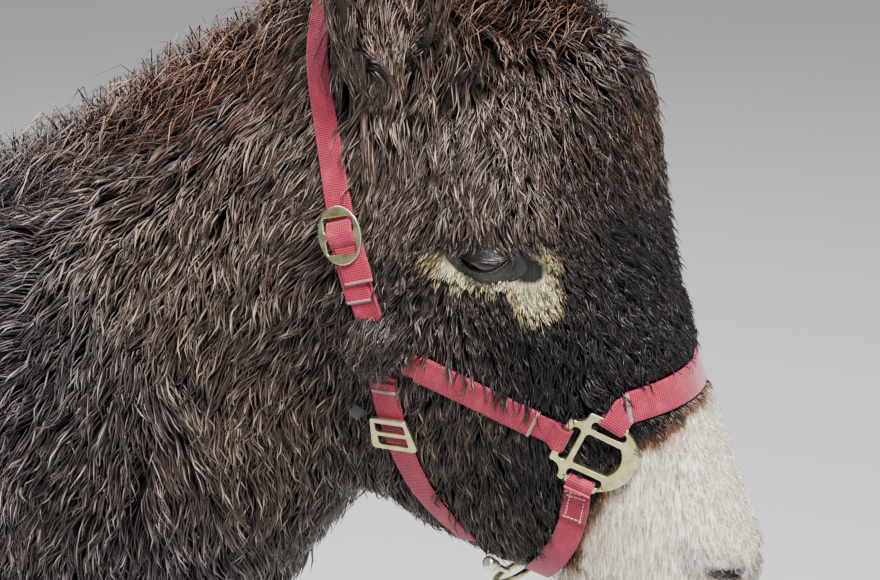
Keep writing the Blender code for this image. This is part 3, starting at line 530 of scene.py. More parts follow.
colourSpots = [
    (inBox("neck", 0.2, -0.9, 0.2), "neck"), (inBox("neck", 0.6, -0.7, -0.6), "neck"),
    (inBox("neck", -0.6, -0.9, 0.1), "neck"), (inBox("mane", 0.0, -0.3, 0.2), "crest"),
    (inBox("mane", 0.8, -0.3, 0.7), "crest"), (inBox("trunk", 0.5, -0.3, 0.9), "back"),
    (inBox("trunk", -0.5, -0.3, 0.9), "back"), (inBox("trunk", 0.0, -1, 0.3), "back"),
    (inBox("trunk", 0.7, -0.9, 0.0), "neck"), (inBox("trunk", -0.8, -0.9, 0.3), "neck"),
    (inBox("trunk", 0.0, -0.4, -0.95), "belly"), (inBox("trunk", -0.45, -0.2, -0.9), "belly"),
    (inBox("trunk", 0.4, -0.2, -0.95), "belly"),
    (inBox("foreleg_right", 0, -1, 0.8), "leg"), (inBox("foreleg_right", 0, -1, -0.5), "shin"),
    (inBox("hindleg_right", 0, -1, 0.8), "leg"), (inBox("hindleg_right", 0, -1, -0.5), "shin"),
    (inBox("hindleg_right", 0.3, 1, 0.9), "belly"), (inBox("foreleg_right", 0.3, 1, 0.9), "belly"),
    (inBox("tail", 0, -1, 0.9), "back"), (inBox("tail", 0, -1, -0.2), "switch"),
    (inBox("tail", 0, -1, -0.9), "switch"), (inBox("ear_right", 0, -0.5, 0.6), "ear"),
    (inBox("ear_right", 0, -0.5, -0.3), "ear"),
    (onHead(0.02, 0.03), "brow"), (onHead(0.08, 0.05), "brow"), (onHead(0.13, 0.02, -0.03), "brow"),
    (onHead(0.08, -0.02, -0.08), "temple"), (onHead(0.12, -0.05, -0.1), "temple"),
    (onHead(0.2, -0.15, -0.108), "cheek"), (onHead(0.06, -0.15, -0.1), "throat"),
    (onHead(0.28, -0.15, -0.09), "jaw"), (onHead(0.34, -0.2, -0.06), "jaw"),
    (onHead(0.22, 0.0, -0.03), "nose"), (onHead(0.28, -0.02, -0.03), "nose"),
    (onHead(0.33, -0.03, -0.03), "nose"), (onHead(0.27, -0.07, -0.09), "nose"),
    (onHead(0.33, -0.12, -0.07), "nose"), (onHead(0.2, -0.3, -0.04), "throat"),
    (onHead(0.3, -0.28, -0.04), "jaw"), (onHead(0.1, -0.3, -0.06), "throat"),
]
spotPlaces = np.array([(x.x, y * x.y, x.z) for x, _ in colourSpots for y in (1, -1)])
spotHairs = np.array([[linear(code) for code in hairColours[kind]] for _, kind in colourSpots])
spotHairs = np.repeat(spotHairs, 2, axis=0)
waveWays = rng.normal(size=(3, 12, 3))


def patches(points, size):
    # soft random patches of about that size in metres, from -1 to 1
    value = np.zeros(len(points))
    for ways in waveWays:
        phase = points @ (ways.T / size)
        value += np.sin(phase + np.roll(phase, 3, axis=1) * 0.5).mean(1)
    return np.clip(value, -1, 1)


# What lies round an eye, in millimetres: u runs from the outer to the inner corner of its lids and v down the
# cheek. The opening is a lens between two bowed edges; the bare skin and the pale short hair are ovals.
eyeShape = {"tilt": 64.0, "middle": (-4.0, 0.0), "half": 20.0, "upperBow": 1.5, "lowerBow": 7.5,
            "browCover": 4.0, "armUp": 13.0, "armStart": 30.0, "armEnd": 40.0}
# each oval's middle u and v, half length and half height: round the lids, and at or under the inner corner
bareOvals = ((4, 1, 34, 14), (31, 9, 12, 11))
paleOvals = ((4, 2, 47, 23), (35, 24, 17, 21))


def ovalsDepth(u, v, ovals):
    # about how far inside the ovals each place is, negative outside, in metres
    return np.max([(1 - np.hypot((u - a) / long, (v - b) / high)) * min(long, high)
                   for a, b, long, high in ovals], axis=0) / 1000


def fromEye(points):
    # each point's place from the nearer eye's middle, along the nose and out of the face
    along, rise, side = headPlaces(points)
    near = (side > 0.035) & (points[:, 0] > headLow.x)
    return np.where(near, along - eyeFromPoll["along"], 1.0), np.where(near, rise - eyeFromPoll["rise"], 1.0)


def eyeSteps(points):
    # the same as u and v of the lids, in millimetres
    x, y = fromEye(points)
    x, y = x * 1000 - eyeShape["middle"][0], y * 1000 - eyeShape["middle"][1]
    turn = math.radians(eyeShape["tilt"])
    return x * math.cos(turn) + y * math.sin(turn), x * math.sin(turn) - y * math.cos(turn)


def bareDepth(points):
    return ovalsDepth(*eyeSteps(points), bareOvals)


def paleDepth(points):
    u, v = eyeSteps(points)
    arm = eyeShape["armUp"] * smoothStep(eyeShape["armStart"], eyeShape["armEnd"], u)
    return np.minimum(ovalsDepth(u, v, paleOvals), (v + eyeShape["browCover"] + arm) / 1000)


muzzleLine = {"along": 0.352, "sweep": 3.3, "reach": 0.15, "ragged": 0.004}


def muzzleEdge(points):
    # how far each point is past the line where the pale muzzle starts
    along, rise, _ = headPlaces(points)
    swept = muzzleLine["sweep"] * np.minimum(np.abs(rise), muzzleLine["reach"]) ** 2
    reach = along - muzzleLine["along"] - swept + patches(points, 0.006) * muzzleLine["ragged"]
    return np.where(onMuzzle(points), reach, -1.0)


spotReach = 0.02  # within this distance of a spot the hair has all its colour


def marksAt(points):
    # root, middle and tip colour of the hair at each point
    hairs = np.concatenate([np.einsum("ns,skc->nkc", nearShares(part, spotPlaces, spotReach, 2), spotHairs)
                            for part in inParts(points)])
    along, rise, _ = headPlaces(points)
    onFace = points[:, 0] > headLow.x + 0.05

    def over(share, kind):
        share = (share * onFace)[:, None, None]
        hairs[:] = mixed(hairs, np.array([linear(code) for code in hairColours[kind]])[None], share)

    # rusty before the muzzle's line, and here and there just past it
    edge = muzzleEdge(points)
    over(smoothStep(-0.016, -0.003, edge) * smoothStep(-0.20, -0.12, rise) * 0.75, "orange")
    over(smoothStep(-0.003, 0.007, edge), "muzzle")
    past = smoothStep(0.0, 0.012, edge) * (1 - smoothStep(0.010, 0.034, edge))
    over(past * smoothStep(0.1, 0.6, patches(points, 0.016)) * 0.45, "orange")
    # the pale ring round the eye, with dark flecks that thin out down the cheek
    inside = paleDepth(points) + patches(points, 0.0035) * 0.002
    over(smoothStep(-0.0012, 0.0012, inside), "ring")
    over(smoothStep(0.0025, 0.005, inside), "underEye")
    flecks = smoothStep(0.35, 0.75, patches(points, 0.0016)) * (inside > 0.001)
    over(flecks * smoothStep(34, 16, eyeSteps(points)[1]) * 0.95, "nose")
    # the muzzle's end and the nostrils
    over(smoothStep(0.470, 0.492, along + patches(points, 0.008) * 0.01) * 0.75, "lip")
    over(smoothStep(-2.4, -0.9, nostrilShare(points)) * 0.7, "lip")
    return hairs


# The coat, piece by piece: how many tufts, their width in mm, points along each, and tufts to a lock.
coatPieces = {
    "coat_brow_right": {"tufts": 8900, "wide": 1.7, "points": 5, "lock": 8},
    "coat_brow_left": {"tufts": 4500, "wide": 2.6, "points": 4, "lock": 8},
    "coat_cheek_right": {"tufts": 8900, "wide": 1.8, "points": 5, "lock": 8},
    "coat_cheek_left": {"tufts": 4500, "wide": 2.7, "points": 4, "lock": 8},
    "coat_jaw_right": {"tufts": 3400, "wide": 2.1, "points": 5, "lock": 8},
    "coat_jaw_left": {"tufts": 1900, "wide": 2.9, "points": 4, "lock": 8},
    "coat_muzzle": {"tufts": 6000, "wide": 0.9, "points": 4, "lock": 3},
    "coat_neck_right": {"tufts": 8600, "wide": 2.5, "points": 5, "lock": 8},
    "coat_neck_left": {"tufts": 4500, "wide": 3.8, "points": 4, "lock": 8},
    "coat_trunk_right": {"tufts": 7600, "wide": 4.2, "points": 4, "lock": 8},
    "coat_trunk_left": {"tufts": 6200, "wide": 4.8, "points": 4, "lock": 8},
    "coat_forelegs": {"tufts": 7000, "wide": 2.6, "points": 3, "lock": 4},
    "coat_hindlegs": {"tufts": 7500, "wide": 2.9, "points": 3, "lock": 4},
    "coat_ears": {"tufts": 7400, "wide": 2.0, "points": 4, "lock": 7},
    "coat_tail": {"tufts": 1500, "wide": 3.2, "points": 5, "lock": 7},
}
faceMiddles = skinPoints[skinFaces].mean(1)


def pieceOfFaces():
    # the coat piece that each triangle of the skin grows
    names = np.array([name.split("_")[0] for name in fleshNodes])[nodeOfFace]
    names[names == "mane"] = "neck"
    along, rise, _ = headPlaces(faceMiddles)
    names[(names == "head") & (rise - 0.22 * (along - 0.18) > -0.062)] = "brow"
    names[(names == "head") & (rise < -0.205 + 0.1 * (along - 0.2))] = "jaw"
    names[names == "head"] = "cheek"
    names[(muzzleEdge(faceMiddles) > -0.008) & np.isin(names, ["brow", "cheek", "jaw"])] = "muzzle"
    sides = np.where(faceMiddles[:, 1] < 0, "_right", "_left")
    joint = {"foreleg": "forelegs", "hindleg": "hindlegs", "ear": "ears", "tail": "tail", "muzzle": "muzzle"}
    return np.array(["coat_" + (joint[name] if name in joint else name + side)
                     for name, side in zip(names, sides)])


facePieces = pieceOfFaces()


def unit(vectors):
    return vectors / np.maximum(np.linalg.norm(vectors, axis=-1, keepdims=True), 1e-9)


def cornerShares(count):
    # random places in triangles, as shares of their corners
    a, b = np.sqrt(rng.random(count)), rng.random(count)
    return np.stack([1 - a, a * (1 - b), a * b], 1)[:, :, None]


def crowding(points):
    # the coat grows closer where the hair is short
    depth = groomed(points)[1][:, 1]
    bare = (bareDepth(points) > -0.0005) | (nostrilShare(points) > -0.1)
    return np.where(bare, 1e-6, np.clip(14 / depth, 0.7, 2.6))


def rootsOn(faces, count):
    # random roots on those triangles: place, normal and place on the unwrap
    weight = skinAreas[faces] * crowding(faceMiddles[faces])
    chosen = faces[rng.choice(len(faces), count, p=weight / weight.sum())]
    share = cornerShares(count)
    corners = skinFaces[chosen]
    return ((skinPoints[corners] * share).sum(1), unit((skinNormals[corners] * share).sum(1)),
            (skinMap[chosen] * share).sum(1))


def nearestSkin(points):
    found = [skinTree.find_nearest(point) for point in points.tolist()]
    return np.array([f[0] for f in found]), np.array([f[1] for f in found])


def placesOn(points):
    # where points lie on the skin's unwrap: at the middle of the nearest triangle
    faces = [skinTree.find_nearest(point)[2] for point in points.tolist()]
    return skinMap[faces].mean(1)


# How a lock is laid: its own turn away from the guides' way, swirls shared with its neighbours, its depth and
# length as shares of the guides', its wave's turns, and how its tufts are pulled in, stray and differ.
lockMake = {"own": 0.16, "swirl": 0.34, "swirlSize": 0.03, "fullSwirl": 4, "depth": (0.72, 1.04),
            "length": (0.75, 1.2), "turns": (0.7, 1.6), "lift": 0.35, "pull": 0.66, "pulled": (0.3, 1.15),
            "stray": 0.20, "shorter": (0.72, 1.0), "shorterAtEye": 0.4, "rooted": 0.0015}


def tracedLocks(roots, normals, points):
    # each lock's path over the skin, from its root to its tip, and its outward way at each point
    count = len(roots)
    own = rng.normal(size=(count, 3)) * lockMake["own"]
    deep = rng.uniform(*lockMake["depth"], count) * (0.90 + 0.16 * patches(roots, 0.02))
    turns, phase = rng.uniform(*lockMake["turns"], count), rng.uniform(0, 2 * math.pi, count)
    size = groomed(roots)[1]
    swirl = np.stack([patches(roots + shift, lockMake["swirlSize"]) for shift in (0, 3, 6)], 1)
    own += swirl * (lockMake["swirl"] * np.minimum(size[:, 2:3] / lockMake["fullSwirl"], 1))
    length = size[:, 0] / 1000 * rng.uniform(*lockMake["length"], count)
    paths, ups = [roots], [normals]
    foot, up = roots, normals
    for step in range(1, points):
        share = step / (points - 1)
        way, size = groomed(foot)
        way = unit(way) + own
        way = unit(way - up * (way * up).sum(1)[:, None])
        foot, face = nearestSkin(foot + way * (length / (points - 1))[:, None])
        up = unit(up * 0.3 + face * 0.7)
        side = np.cross(up, way)
        high = size[:, 1] / 1000 * deep * (0.30 + 0.70 * math.sin(min(1, share * 1.5) * math.pi / 2))
        high += size[:, 3] * length * 0.10 * share**2
        wave = size[:, 2] / 1000 * share**0.6
        bend = np.sin(2 * math.pi * turns * share + phase) * wave
        lift = np.cos(2 * math.pi * turns * share + phase) * wave * lockMake["lift"]
        paths.append(foot + up * (high + lift)[:, None] + side * bend[:, None])
        ups.append(up)
    return np.stack(paths, 1), np.stack(ups, 1)


overStrap = {"share": 0.6, "lone": 0.06, "clumps": 0.15, "clear": 0.0016, "press": 0.0022, "beside": 0.010,
             "slope": 1.1, "below": 0.04, "above": 0.045, "least": 0.0005}


def pressed(paths):
    # hair that meets a strap goes under it, but for tips that lie over its edge
    points = paths.shape[1]
    inside = ((paths > halterLow) & (paths < halterHigh)).all(2).any(1)
    for path in (paths[i] for i in np.nonzero(inside)[0]):
        spots = [Vector(point) for point in path]
        skins = [skinTree.find_nearest(spot) for spot in spots]
        heights = [(spot - skin[0]).dot(skin[1]) for spot, skin in zip(spots, skins)]
        low = [halterTree.ray_cast(skin[0], skin[1], overStrap["below"]) for skin in skins]
        under = [hit[0] is not None for hit in low]
        clump = patches(path[:1], 0.010)[0] > overStrap["clumps"]
        over = rng.random() < overStrap["share" if clump else "lone"]
        over = over and any(under) and not any(under[:points // 2])
        clear = overStrap["clear"] * rng.uniform(0.6, 2.2)
        for j, (spot, (place, normal, _, _), height) in enumerate(zip(spots, skins, heights)):
            if over and under[j]:
                above = overStrap["above"]
                wanted = above - halterTree.ray_cast(place + normal * above, -normal, above)[3] + clear
            elif over and under[min(j + 1, points - 1)]:
                wanted = max(height, low[j + 1][3] + overStrap["clear"])
            elif under[j]:
                wanted = min(height, low[j][3] - overStrap["press"])
            else:
                beside = None if over else halterTree.find_nearest(spot, overStrap["beside"])[0]
                if beside is None:
                    continue
                level = (beside - place).dot(normal)
                aside = ((beside - place) - normal * level).length
                wanted = min(height, level - overStrap["press"] + aside * overStrap["slope"])
            path[j] = np.array(spot + normal * (max(wanted, overStrap["least"]) - height))
    return paths


def tuftMesh(name, paths, ups, halfWidths, hairs, shades, places):
    # closed three-sided tufts that taper to their tips
    count, points = paths.shape[:2]
    rings = points - 1
    share = np.linspace(0, 1, points)
    run = unit(np.gradient(paths, axis=1))
    side = unit(np.cross(run, ups))
    rise = np.cross(side, run)
    wide = halfWidths[:, None] * (0.9 + 0.25 * share - 0.95 * share**2)[None]
    verts = []
    for turn, flat in ((90, 0.62), (210, 0.62), (330, 0.62)):
        angle = math.radians(turn)
        verts.append(paths + side * (math.cos(angle) * wide)[..., None]
                     + rise * (math.sin(angle) * flat * wide)[..., None])
    body = np.stack([v[:, :rings] for v in verts], 2).reshape(count, rings * 3, 3)
    verts = np.concatenate([body, paths[:, -1:]], 1)
    faces = [(2, 1, 0)]
    for ring in range(rings - 1):
        for corner in range(3):
            a, b = ring * 3 + corner, ring * 3 + (corner + 1) % 3
            faces += [(a, b, b + 3), (a, b + 3, a + 3)]
    last = (rings - 1) * 3
    faces += [(last + corner, last + (corner + 1) % 3, rings * 3) for corner in range(3)]
    faces = np.array(faces)
    each = rings * 3 + 1
    mesh = bpy.data.meshes.new(name)
    mesh.vertices.add(count * each)
    mesh.vertices.foreach_set("co", verts.astype(np.float32).ravel())
    allFaces = (faces[None] + (np.arange(count) * each)[:, None, None]).reshape(-1)
    mesh.loops.add(len(allFaces))
    mesh.loops.foreach_set("vertex_index", allFaces.astype(np.int32))
    mesh.polygons.add(len(allFaces) // 3)
    mesh.polygons.foreach_set("loop_start", np.arange(0, len(allFaces), 3, dtype=np.int32))
    mesh.update(calc_edges=True)
    mesh.shade_smooth()
    # each tuft has its own small patch of the map, at its root's place
    patchHalf = 0.0015
    across = np.tile([0.0, -patchHalf, patchHalf], rings).tolist() + [0.0]
    upward = np.repeat(share[:rings], 3).tolist() + [1.0]
    patch = np.stack([across, np.array(upward) * 2 * patchHalf - patchHalf], 1)
    mapped = (places[:, None] + patch[None])[:, faces.ravel()]
    mesh.uv_layers.new(name="OFBake").data.foreach_set("uv", mapped.astype(np.float32).ravel())
    # and a second map in millimetres across and along it, for the single hairs
    side = np.tile([0.5, 0.0, 1.0], rings).tolist() + [0.5]
    acrossStrand = np.array(side)[None] * halfWidths[:, None] * 2000 + rng.uniform(0, 900, count)[:, None]
    alongStrand = np.array(upward)[None] * 40 + rng.uniform(0, 900, count)[:, None]
    strand = np.stack([acrossStrand, alongStrand], 2)[:, faces.ravel()]
    mesh.uv_layers.new(name="strandMap").data.foreach_set("uv", strand.astype(np.float32).ravel())
    share = np.append(np.repeat(share[:rings], 3), 1.0)[None, :, None]
    colour = mixed(hairs[:, None, 0], hairs[:, None, 1], smoothStep(0.05, 0.5, share))
    colour = mixed(colour, hairs[:, None, 2], smoothStep(0.55, 1, share))
    paint(mesh, "hairColour", colour * shades[:, None, None])
    return newObject(name, mesh)


coatObjects = []


# how pale tips are beside their own colour, partly dust and partly painted highlight, and how many of each
# there are
tipDustAndLight = {"tips": (0.22, 0.60, 1.60), "shares": (0.50, 0.29, 0.21)}
# how much the shade differs from lock to lock, tuft to tuft and patch to patch
shadeMake = {"lock": 0.16, "tuft": 0.18, "patch": 0.3, "patchSize": 0.025, "least": 0.4, "most": 1.8}


def tipsDustedAndLit(hairs):
    hairs[:, 2] *= rng.choice(tipDustAndLight["tips"], len(hairs), p=tipDustAndLight["shares"])[:, None]
    return hairs


def growCoat(name, make):
    faces = np.nonzero(facePieces == name)[0]
    roots, normals, places = rootsOn(faces, make["tufts"])
    lockRoots, lockNormals, _ = rootsOn(faces, max(20, make["tufts"] // make["lock"]))
    lockPaths, lockUps = tracedLocks(lockRoots, lockNormals, make["points"])
    tree = KDTree(len(lockRoots))
    for i, place in enumerate(lockRoots):
        tree.insert(place, i)
    tree.balance()
    lock = np.array([tree.find(place)[1] for place in roots.tolist()])
    lockShade = rng.normal(1, shadeMake["lock"], len(lockRoots))
    share = np.linspace(0, 1, make["points"])[None, :, None]
    size = groomed(roots)[1]
    pulled = rng.uniform(*lockMake["pulled"], len(roots))[:, None, None]
    pull = lockMake["pull"] * smoothStep(0.1, 1, share) * pulled
    away = (roots - lockRoots[lock])[:, None]
    path = lockPaths[lock] + away * (1 - pull)
    stray = rng.normal(size=(len(roots), 1, 3)) * (size[:, 1] / 1000 * lockMake["stray"])[:, None, None]
    path = path + stray * share**1.2
    # shorter and longer tufts in one lock
    nearEye = smoothStep(-0.002, 0.003, paleDepth(roots))
    shorter = rng.uniform(*lockMake["shorter"], len(roots)) * (1 - lockMake["shorterAtEye"] * nearEye)
    spots = share * shorter[:, None, None] * (make["points"] - 1)
    low = np.clip(np.floor(spots).astype(int), 0, make["points"] - 2)
    part = spots - low
    rows = np.arange(len(roots))[:, None]
    path = path[rows, low[:, :, 0]] * (1 - part) + path[rows, low[:, :, 0] + 1] * part
    ups = lockUps[lock]
    path[:, 0] = roots - normals * lockMake["rooted"]
    if path[..., 0].max() > halterLow[0]:
        path = pressed(path)
    shades = lockShade[lock] * rng.normal(1, shadeMake["tuft"], len(roots))
    shades = shades * (1 + shadeMake["patch"] * patches(roots, shadeMake["patchSize"]))
    shades = np.clip(shades, shadeMake["least"], shadeMake["most"])
    hairs = tipsDustedAndLit(marksAt(roots))
    halves = make["wide"] / 2000 * rng.uniform(0.7, 1.25, len(roots)) * np.clip(size[:, 0] / 25, 0.55, 1.15)
    coat = tuftMesh(name, path, ups, halves, hairs, shades, places)
    coatObjects.append(coat)
    print(name, len(coat.data.polygons), "triangles")
    return coat


for name, make in coatPieces.items():
    growCoat(name, make)


# Hair that lies over the halter's side rings and hides them.
ringCover = {"tufts": 260, "points": 6, "up": 0.036, "spread": 0.018, "clear": 0.0085, "reach": 0.024,
             "wide": 2.0, "tone": 0.8}


def coverRings():
    parts = []
    for side, name in ((-1, "halter_ring_right"), (1, "halter_ring_left")):
        ring = np.array(middle(name))
        place, normal, _, ringHigh = skinTree.find_nearest(middle(name))
        flow = unit(groomed(ring[None])[0])[0]
        across = unit(np.cross(flow, [0, side, 0]))
        count = ringCover["tufts"]
        starts = (ring - flow * ringCover["up"] * rng.uniform(0.45, 1.25, (count, 1))
                  + across * ringCover["spread"] * rng.normal(0, 0.7, (count, 1)))
        roots, normals = nearestSkin(starts)
        paths, ups = tracedLocks(roots, normals, ringCover["points"])
        height = ((paths - np.array(place)) * np.array(normal)).sum(2)
        away = np.linalg.norm(np.cross(paths - ring, np.array(normal)), axis=2)
        share = np.linspace(0, 1, ringCover["points"])
        near = np.exp(-((away / ringCover["reach"]) ** 4)) * np.minimum(1, share * 2.5)[None]
        wanted = ringHigh + ringCover["clear"] * rng.uniform(0.7, 1.5, (count, 1))
        paths = paths + np.array(normal) * (np.maximum(wanted - height, 0) * near)[..., None]
        parts.append((roots, paths, ups))
    roots, paths, ups = (np.concatenate(part) for part in zip(*parts))
    halves = ringCover["wide"] / 2000 * rng.uniform(0.7, 1.2, len(roots))
    shades = np.clip(rng.normal(1, 0.25, len(roots)), 0.5, 1.7) * ringCover["tone"]
    return tuftMesh("hair_over_rings", paths, ups, halves, tipsDustedAndLit(marksAt(roots)), shades, placesOn(roots))


# The long hair of each fetlock that falls over the top of its hoof.
fringeMake = {"tufts": 170, "over": 0.013, "wide": 3.0, "wallDown": 0.012, "rootUp": 0.020, "clear": 0.0015}


def hoofFringes():
    parts = []
    for node in (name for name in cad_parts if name.startswith("hoof_")):
        hoof = welded(node)
        tree = BVHTree.FromBMesh(hoof)
        hoof.free()
        centre, top = middle(node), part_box(node)[1][2]
        wallUp = Vector((0, 0, fringeMake["wallDown"]))
        aim = Vector((0, 0, top - centre.z)) - wallUp
        for turn in rng.uniform(0, 2 * math.pi, fringeMake["tufts"]):
            out = Vector((math.cos(turn), math.sin(turn), 0))
            wall = tree.ray_cast(centre + out * 0.2 + aim, -out)[0]
            if wall is None:
                continue
            fall = fringeMake["over"] * rng.uniform(0.3, 1.2)
            above = Vector((0, 0, fringeMake["rootUp"] + 0.014 * rng.random()))
            root, normal, _, _ = skinTree.find_nearest(wall + above)
            edge = wall + out * fringeMake["clear"] + wallUp
            tip = wall + out * rng.uniform(0.001, 0.004) + wallUp
            tip += Vector((rng.normal(0, 0.002), rng.normal(0, 0.002), -fall))
            bend = root.lerp(edge, 0.55) + out * 0.003 + Vector((0, 0, 0.002))
            parts.append((root - normal * lockMake["rooted"], bend, edge, tip, out))
    parts = np.array(parts)
    paths, ups = parts[:, :4], np.repeat(parts[:, 4:], 4, axis=1)
    halves = fringeMake["wide"] / 2000 * rng.uniform(0.7, 1.2, len(paths))
    shades = np.clip(rng.normal(1, 0.2, len(paths)), 0.5, 1.6)
    return tuftMesh("fetlock_fringe", paths, ups, halves, marksAt(paths[:, 0]), shades, placesOn(paths[:, 0]))


coatObjects += [coverRings(), hoofFringes()]


# Long winter hair: dark at the root, partly painted shade between the locks, and dusty at the tip, partly
# painted highlight; streaked by its single hairs, softly glossy.
# The single hairs are drawn 0.7 mm apart, coarser than real ones, so that they show.
strandMake = {"apart": 0.7, "long": 18.0, "dark": 0.40, "light": 1.75}
hairMaterial, tree, shader = newMaterial("winter_hair", {"Roughness": 0.42, "Specular IOR Level": 0.45,
                                                         "IOR": 1.55})
lie = addNode(tree, "ShaderNodeUVMap", {"uv_map": "strandMap"})
drawn = scaledSpace(tree, lie.outputs["UV"], (1 / strandMake["apart"], 1 / strandMake["long"], 1.0))
addHairLook(tree, shader, drawn, {"noise_dimensions": "2D", "Scale": 1.0, "Detail": 1.0},
            (0.3, 0.72, strandMake["dark"], strandMake["light"]), 0.7, 0.0006)


def skinColours():
    hairs = marksAt(skinPoints)
    pale = smoothStep(-0.002, 0.004, muzzleEdge(skinPoints))[:, None]
    bare = smoothStep(-0.001, 0.002, bareDepth(skinPoints))[:, None]
    # the nostrils' hollows and the mouth's crease are painted darker, most where they sink deepest: painted
    # shade
    nostrilShade = smoothStep(-0.25, 0.3, nostrilShare(skinPoints))[:, None]
    mouthShade = (mouthDepth(skinPoints) / muzzleMake["mouthDeep"])[:, None] * 0.7
    # under the coat the skin takes the hair's dark root colour, partly painted shade for the gaps between the
    # tufts
    colour = mixed(hairs[:, 0], hairs[:, 1], 0.4)
    colour = mixed(colour, hairs[:, 1], pale)
    for code, share in (("#1a1818", bare), ("#2b2321", nostrilShade), ("#3a302d", mouthShade)):
        colour = mixed(colour, linear(code), share)
    paint(skin.data, "hairColour", colour)


skinColours()
underMaterial, tree, shader = newMaterial("short_undercoat", {"Roughness": 0.7, "Specular IOR Level": 0.3})
lying = scaledSpace(tree, objectSpace(tree), (1.0, 1.0, 0.12))
addHairLook(tree, shader, lying, {"Scale": 620.0, "Detail": 3.0}, (0.35, 0.65, 0.6, 1.5), 0.8, 0.0010)


def rounder(obj, levels):
    finer = obj.modifiers.new("rounder", "SUBSURF")
    finer.levels = finer.render_levels = levels


def finish(obj, material, slotName, *nodes):
    obj.data.materials.clear()
    obj.data.materials.append(material)
    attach(obj, "root")
    if nodes:
        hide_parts(*nodes)
    return obj


finish(skin, underMaterial, "coat", *fleshNodes)
for coat in coatObjects:
    finish(coat, hairMaterial, "coat")
print("coat grown:", sum(len(coat.data.polygons) for coat in coatObjects), "triangles")


# Eyes: a glossy ball with a dark brown iris and a level pupil, under half-closed lids.
eyeMake = {"radius": 0.0205, "cornea": 0.0012, "corneaWide": 0.42, "iris": 0.0105, "pupilLong": 0.0060,
           "pupilHigh": 0.0026, "rings": 40, "turns": 72}
eyeTones = {"pupil": "#050404", "iris": "#3a2013", "rim": "#140e0b", "white": "#4a3a31"}
lidEdge = {"long": 0.0345, "high": 0.0195, "tilt": 57.0, "middle": (0.000, 0.001)}
lidFolds = ((0.20, 0.0019, 0.035), (0.36, 0.0021, 0.04), (0.55, 0.0012, 0.06))  # share out, depth, width


def eyeGaze(side):
    # out of the eye, along its opening, and up
    out = (leftWay * side + browWay * 0.20 + noseWay * 0.10).normalized()
    long = (noseWay * 0.54 + browWay * 0.84)
    long = (long - out * long.dot(out)).normalized()
    return out, long, out.cross(long) * side


def makeEye(name, side):
    centre = middle(f"eye_{name}")
    out, long, high = eyeGaze(side)
    bm = bmesh.new()
    shades = []
    rings = []
    for k in range(eyeMake["rings"] + 1):
        polar = math.pi * k / eyeMake["rings"]
        away = eyeMake["radius"] + eyeMake["cornea"] * math.exp(-(polar / eyeMake["corneaWide"]) ** 4)
        ring = []
        for j in range(eyeMake["turns"] if 0 < k < eyeMake["rings"] else 1):
            turn = 2 * math.pi * j / eyeMake["turns"]
            x, y = math.sin(polar) * math.cos(turn), math.sin(polar) * math.sin(turn)
            ring.append(bm.verts.new(centre + (out * math.cos(polar) + long * x + high * y) * away))
            x, y = x * eyeMake["radius"], y * eyeMake["radius"]
            pupil = ((x / eyeMake["pupilLong"]) ** 4 + (y / eyeMake["pupilHigh"]) ** 2) ** 0.5
            iris = math.hypot(x, y) / eyeMake["iris"]
            fibre = 0.75 + 0.25 * math.sin(turn * 31 + 3 * math.sin(turn * 7))
            tone = linear(eyeTones["iris"]) * fibre * (1.2 - 0.5 * iris)
            if pupil < 1:
                tone = linear(eyeTones["pupil"])
            if iris > 1 or polar > math.pi / 2:
                tone = linear(eyeTones["rim" if iris < 1.2 and polar < math.pi / 2 else "white"])
            shades.append(tone)
        rings.append(ring)
    for near, far in zip(rings, rings[1:]):
        for j in range(eyeMake["turns"]):
            a, b = near[j % len(near)], near[(j + 1) % len(near)]
            c, d = far[(j + 1) % len(far)], far[j % len(far)]
            bm.faces.new([v for n, v in enumerate((a, b, c, d)) if v not in (a, b, c, d)[:n]]).smooth = True
    obj = madeObject(f"eyeball_{name}", bm)
    paint(obj.data, "irisColour", np.array(shades))
    return obj


def curveBetween(a, b, c, d, t):
    # the place between b and c of a smooth curve through all four
    return (b + (c - a) * (t / 2) + (a * 2 - b * 5 + c * 4 - d) * (t * t / 2)
            + (b * 3 - a - c * 3 + d) * (t**3 / 2))


def closedCurve(points, count):
    # evenly spaced points of a smooth closed curve through the given ones
    points = [Vector(p) for p in points]
    fine = []
    for k in range(len(points)):
        a, b, c, d = (points[(k + j) % len(points)] for j in (-1, 0, 1, 2))
        fine += [curveBetween(a, b, c, d, j / 24) for j in range(24)]
    steps = [0.0]
    for a, b in zip(fine, fine[1:] + fine[:1]):
        steps.append(steps[-1] + (b - a).length)
    spots = np.linspace(0, steps[-1], count, endpoint=False)
    loop = np.array(fine + fine[:1])
    return [Vector((np.interp(s, steps, loop[:, 0]), np.interp(s, steps, loop[:, 1]))) for s in spots]


# The lids: their flesh over the ball, the plump edge and where it lies, how far the outer rim sinks into the
# skin and the wet edge turns in, where on the way round the lower lid starts, and its share of the folds.
lidMake = {"bulk": 0.0016, "plump": 0.0026, "plumpAt": 0.07, "plumpWide": 0.06, "sunk": 0.0045,
           "turnsIn": 0.0016, "lowerFrom": 0.48, "lowerFolds": 0.5, "thick": 0.0012, "turns": 96,
           "shares": (-0.10, 0.0, 0.04, 0.08, 0.12, 0.16, 0.20, 0.25, 0.29, 0.33, 0.37, 0.42, 0.48, 0.54, 0.6,
                      0.7, 0.8, 0.9, 1.0)}


def lidOpening(steps=8):
    # the upper edge from the outer to the inner corner, then the lower edge back
    shares = [2 * k / steps - 1 for k in range(steps)]
    edges = [(t, eyeShape["upperBow"]) for t in shares] + [(-t, eyeShape["lowerBow"]) for t in shares]
    turn = math.radians(eyeShape["tilt"])
    points = []
    for t, bow in edges:
        u, v = eyeShape["half"] * t, bow * (1 - t * t)
        points.append(((eyeShape["middle"][0] + u * math.cos(turn) + v * math.sin(turn)) / 1000,
                       (eyeShape["middle"][1] + u * math.sin(turn) - v * math.cos(turn)) / 1000))
    return points


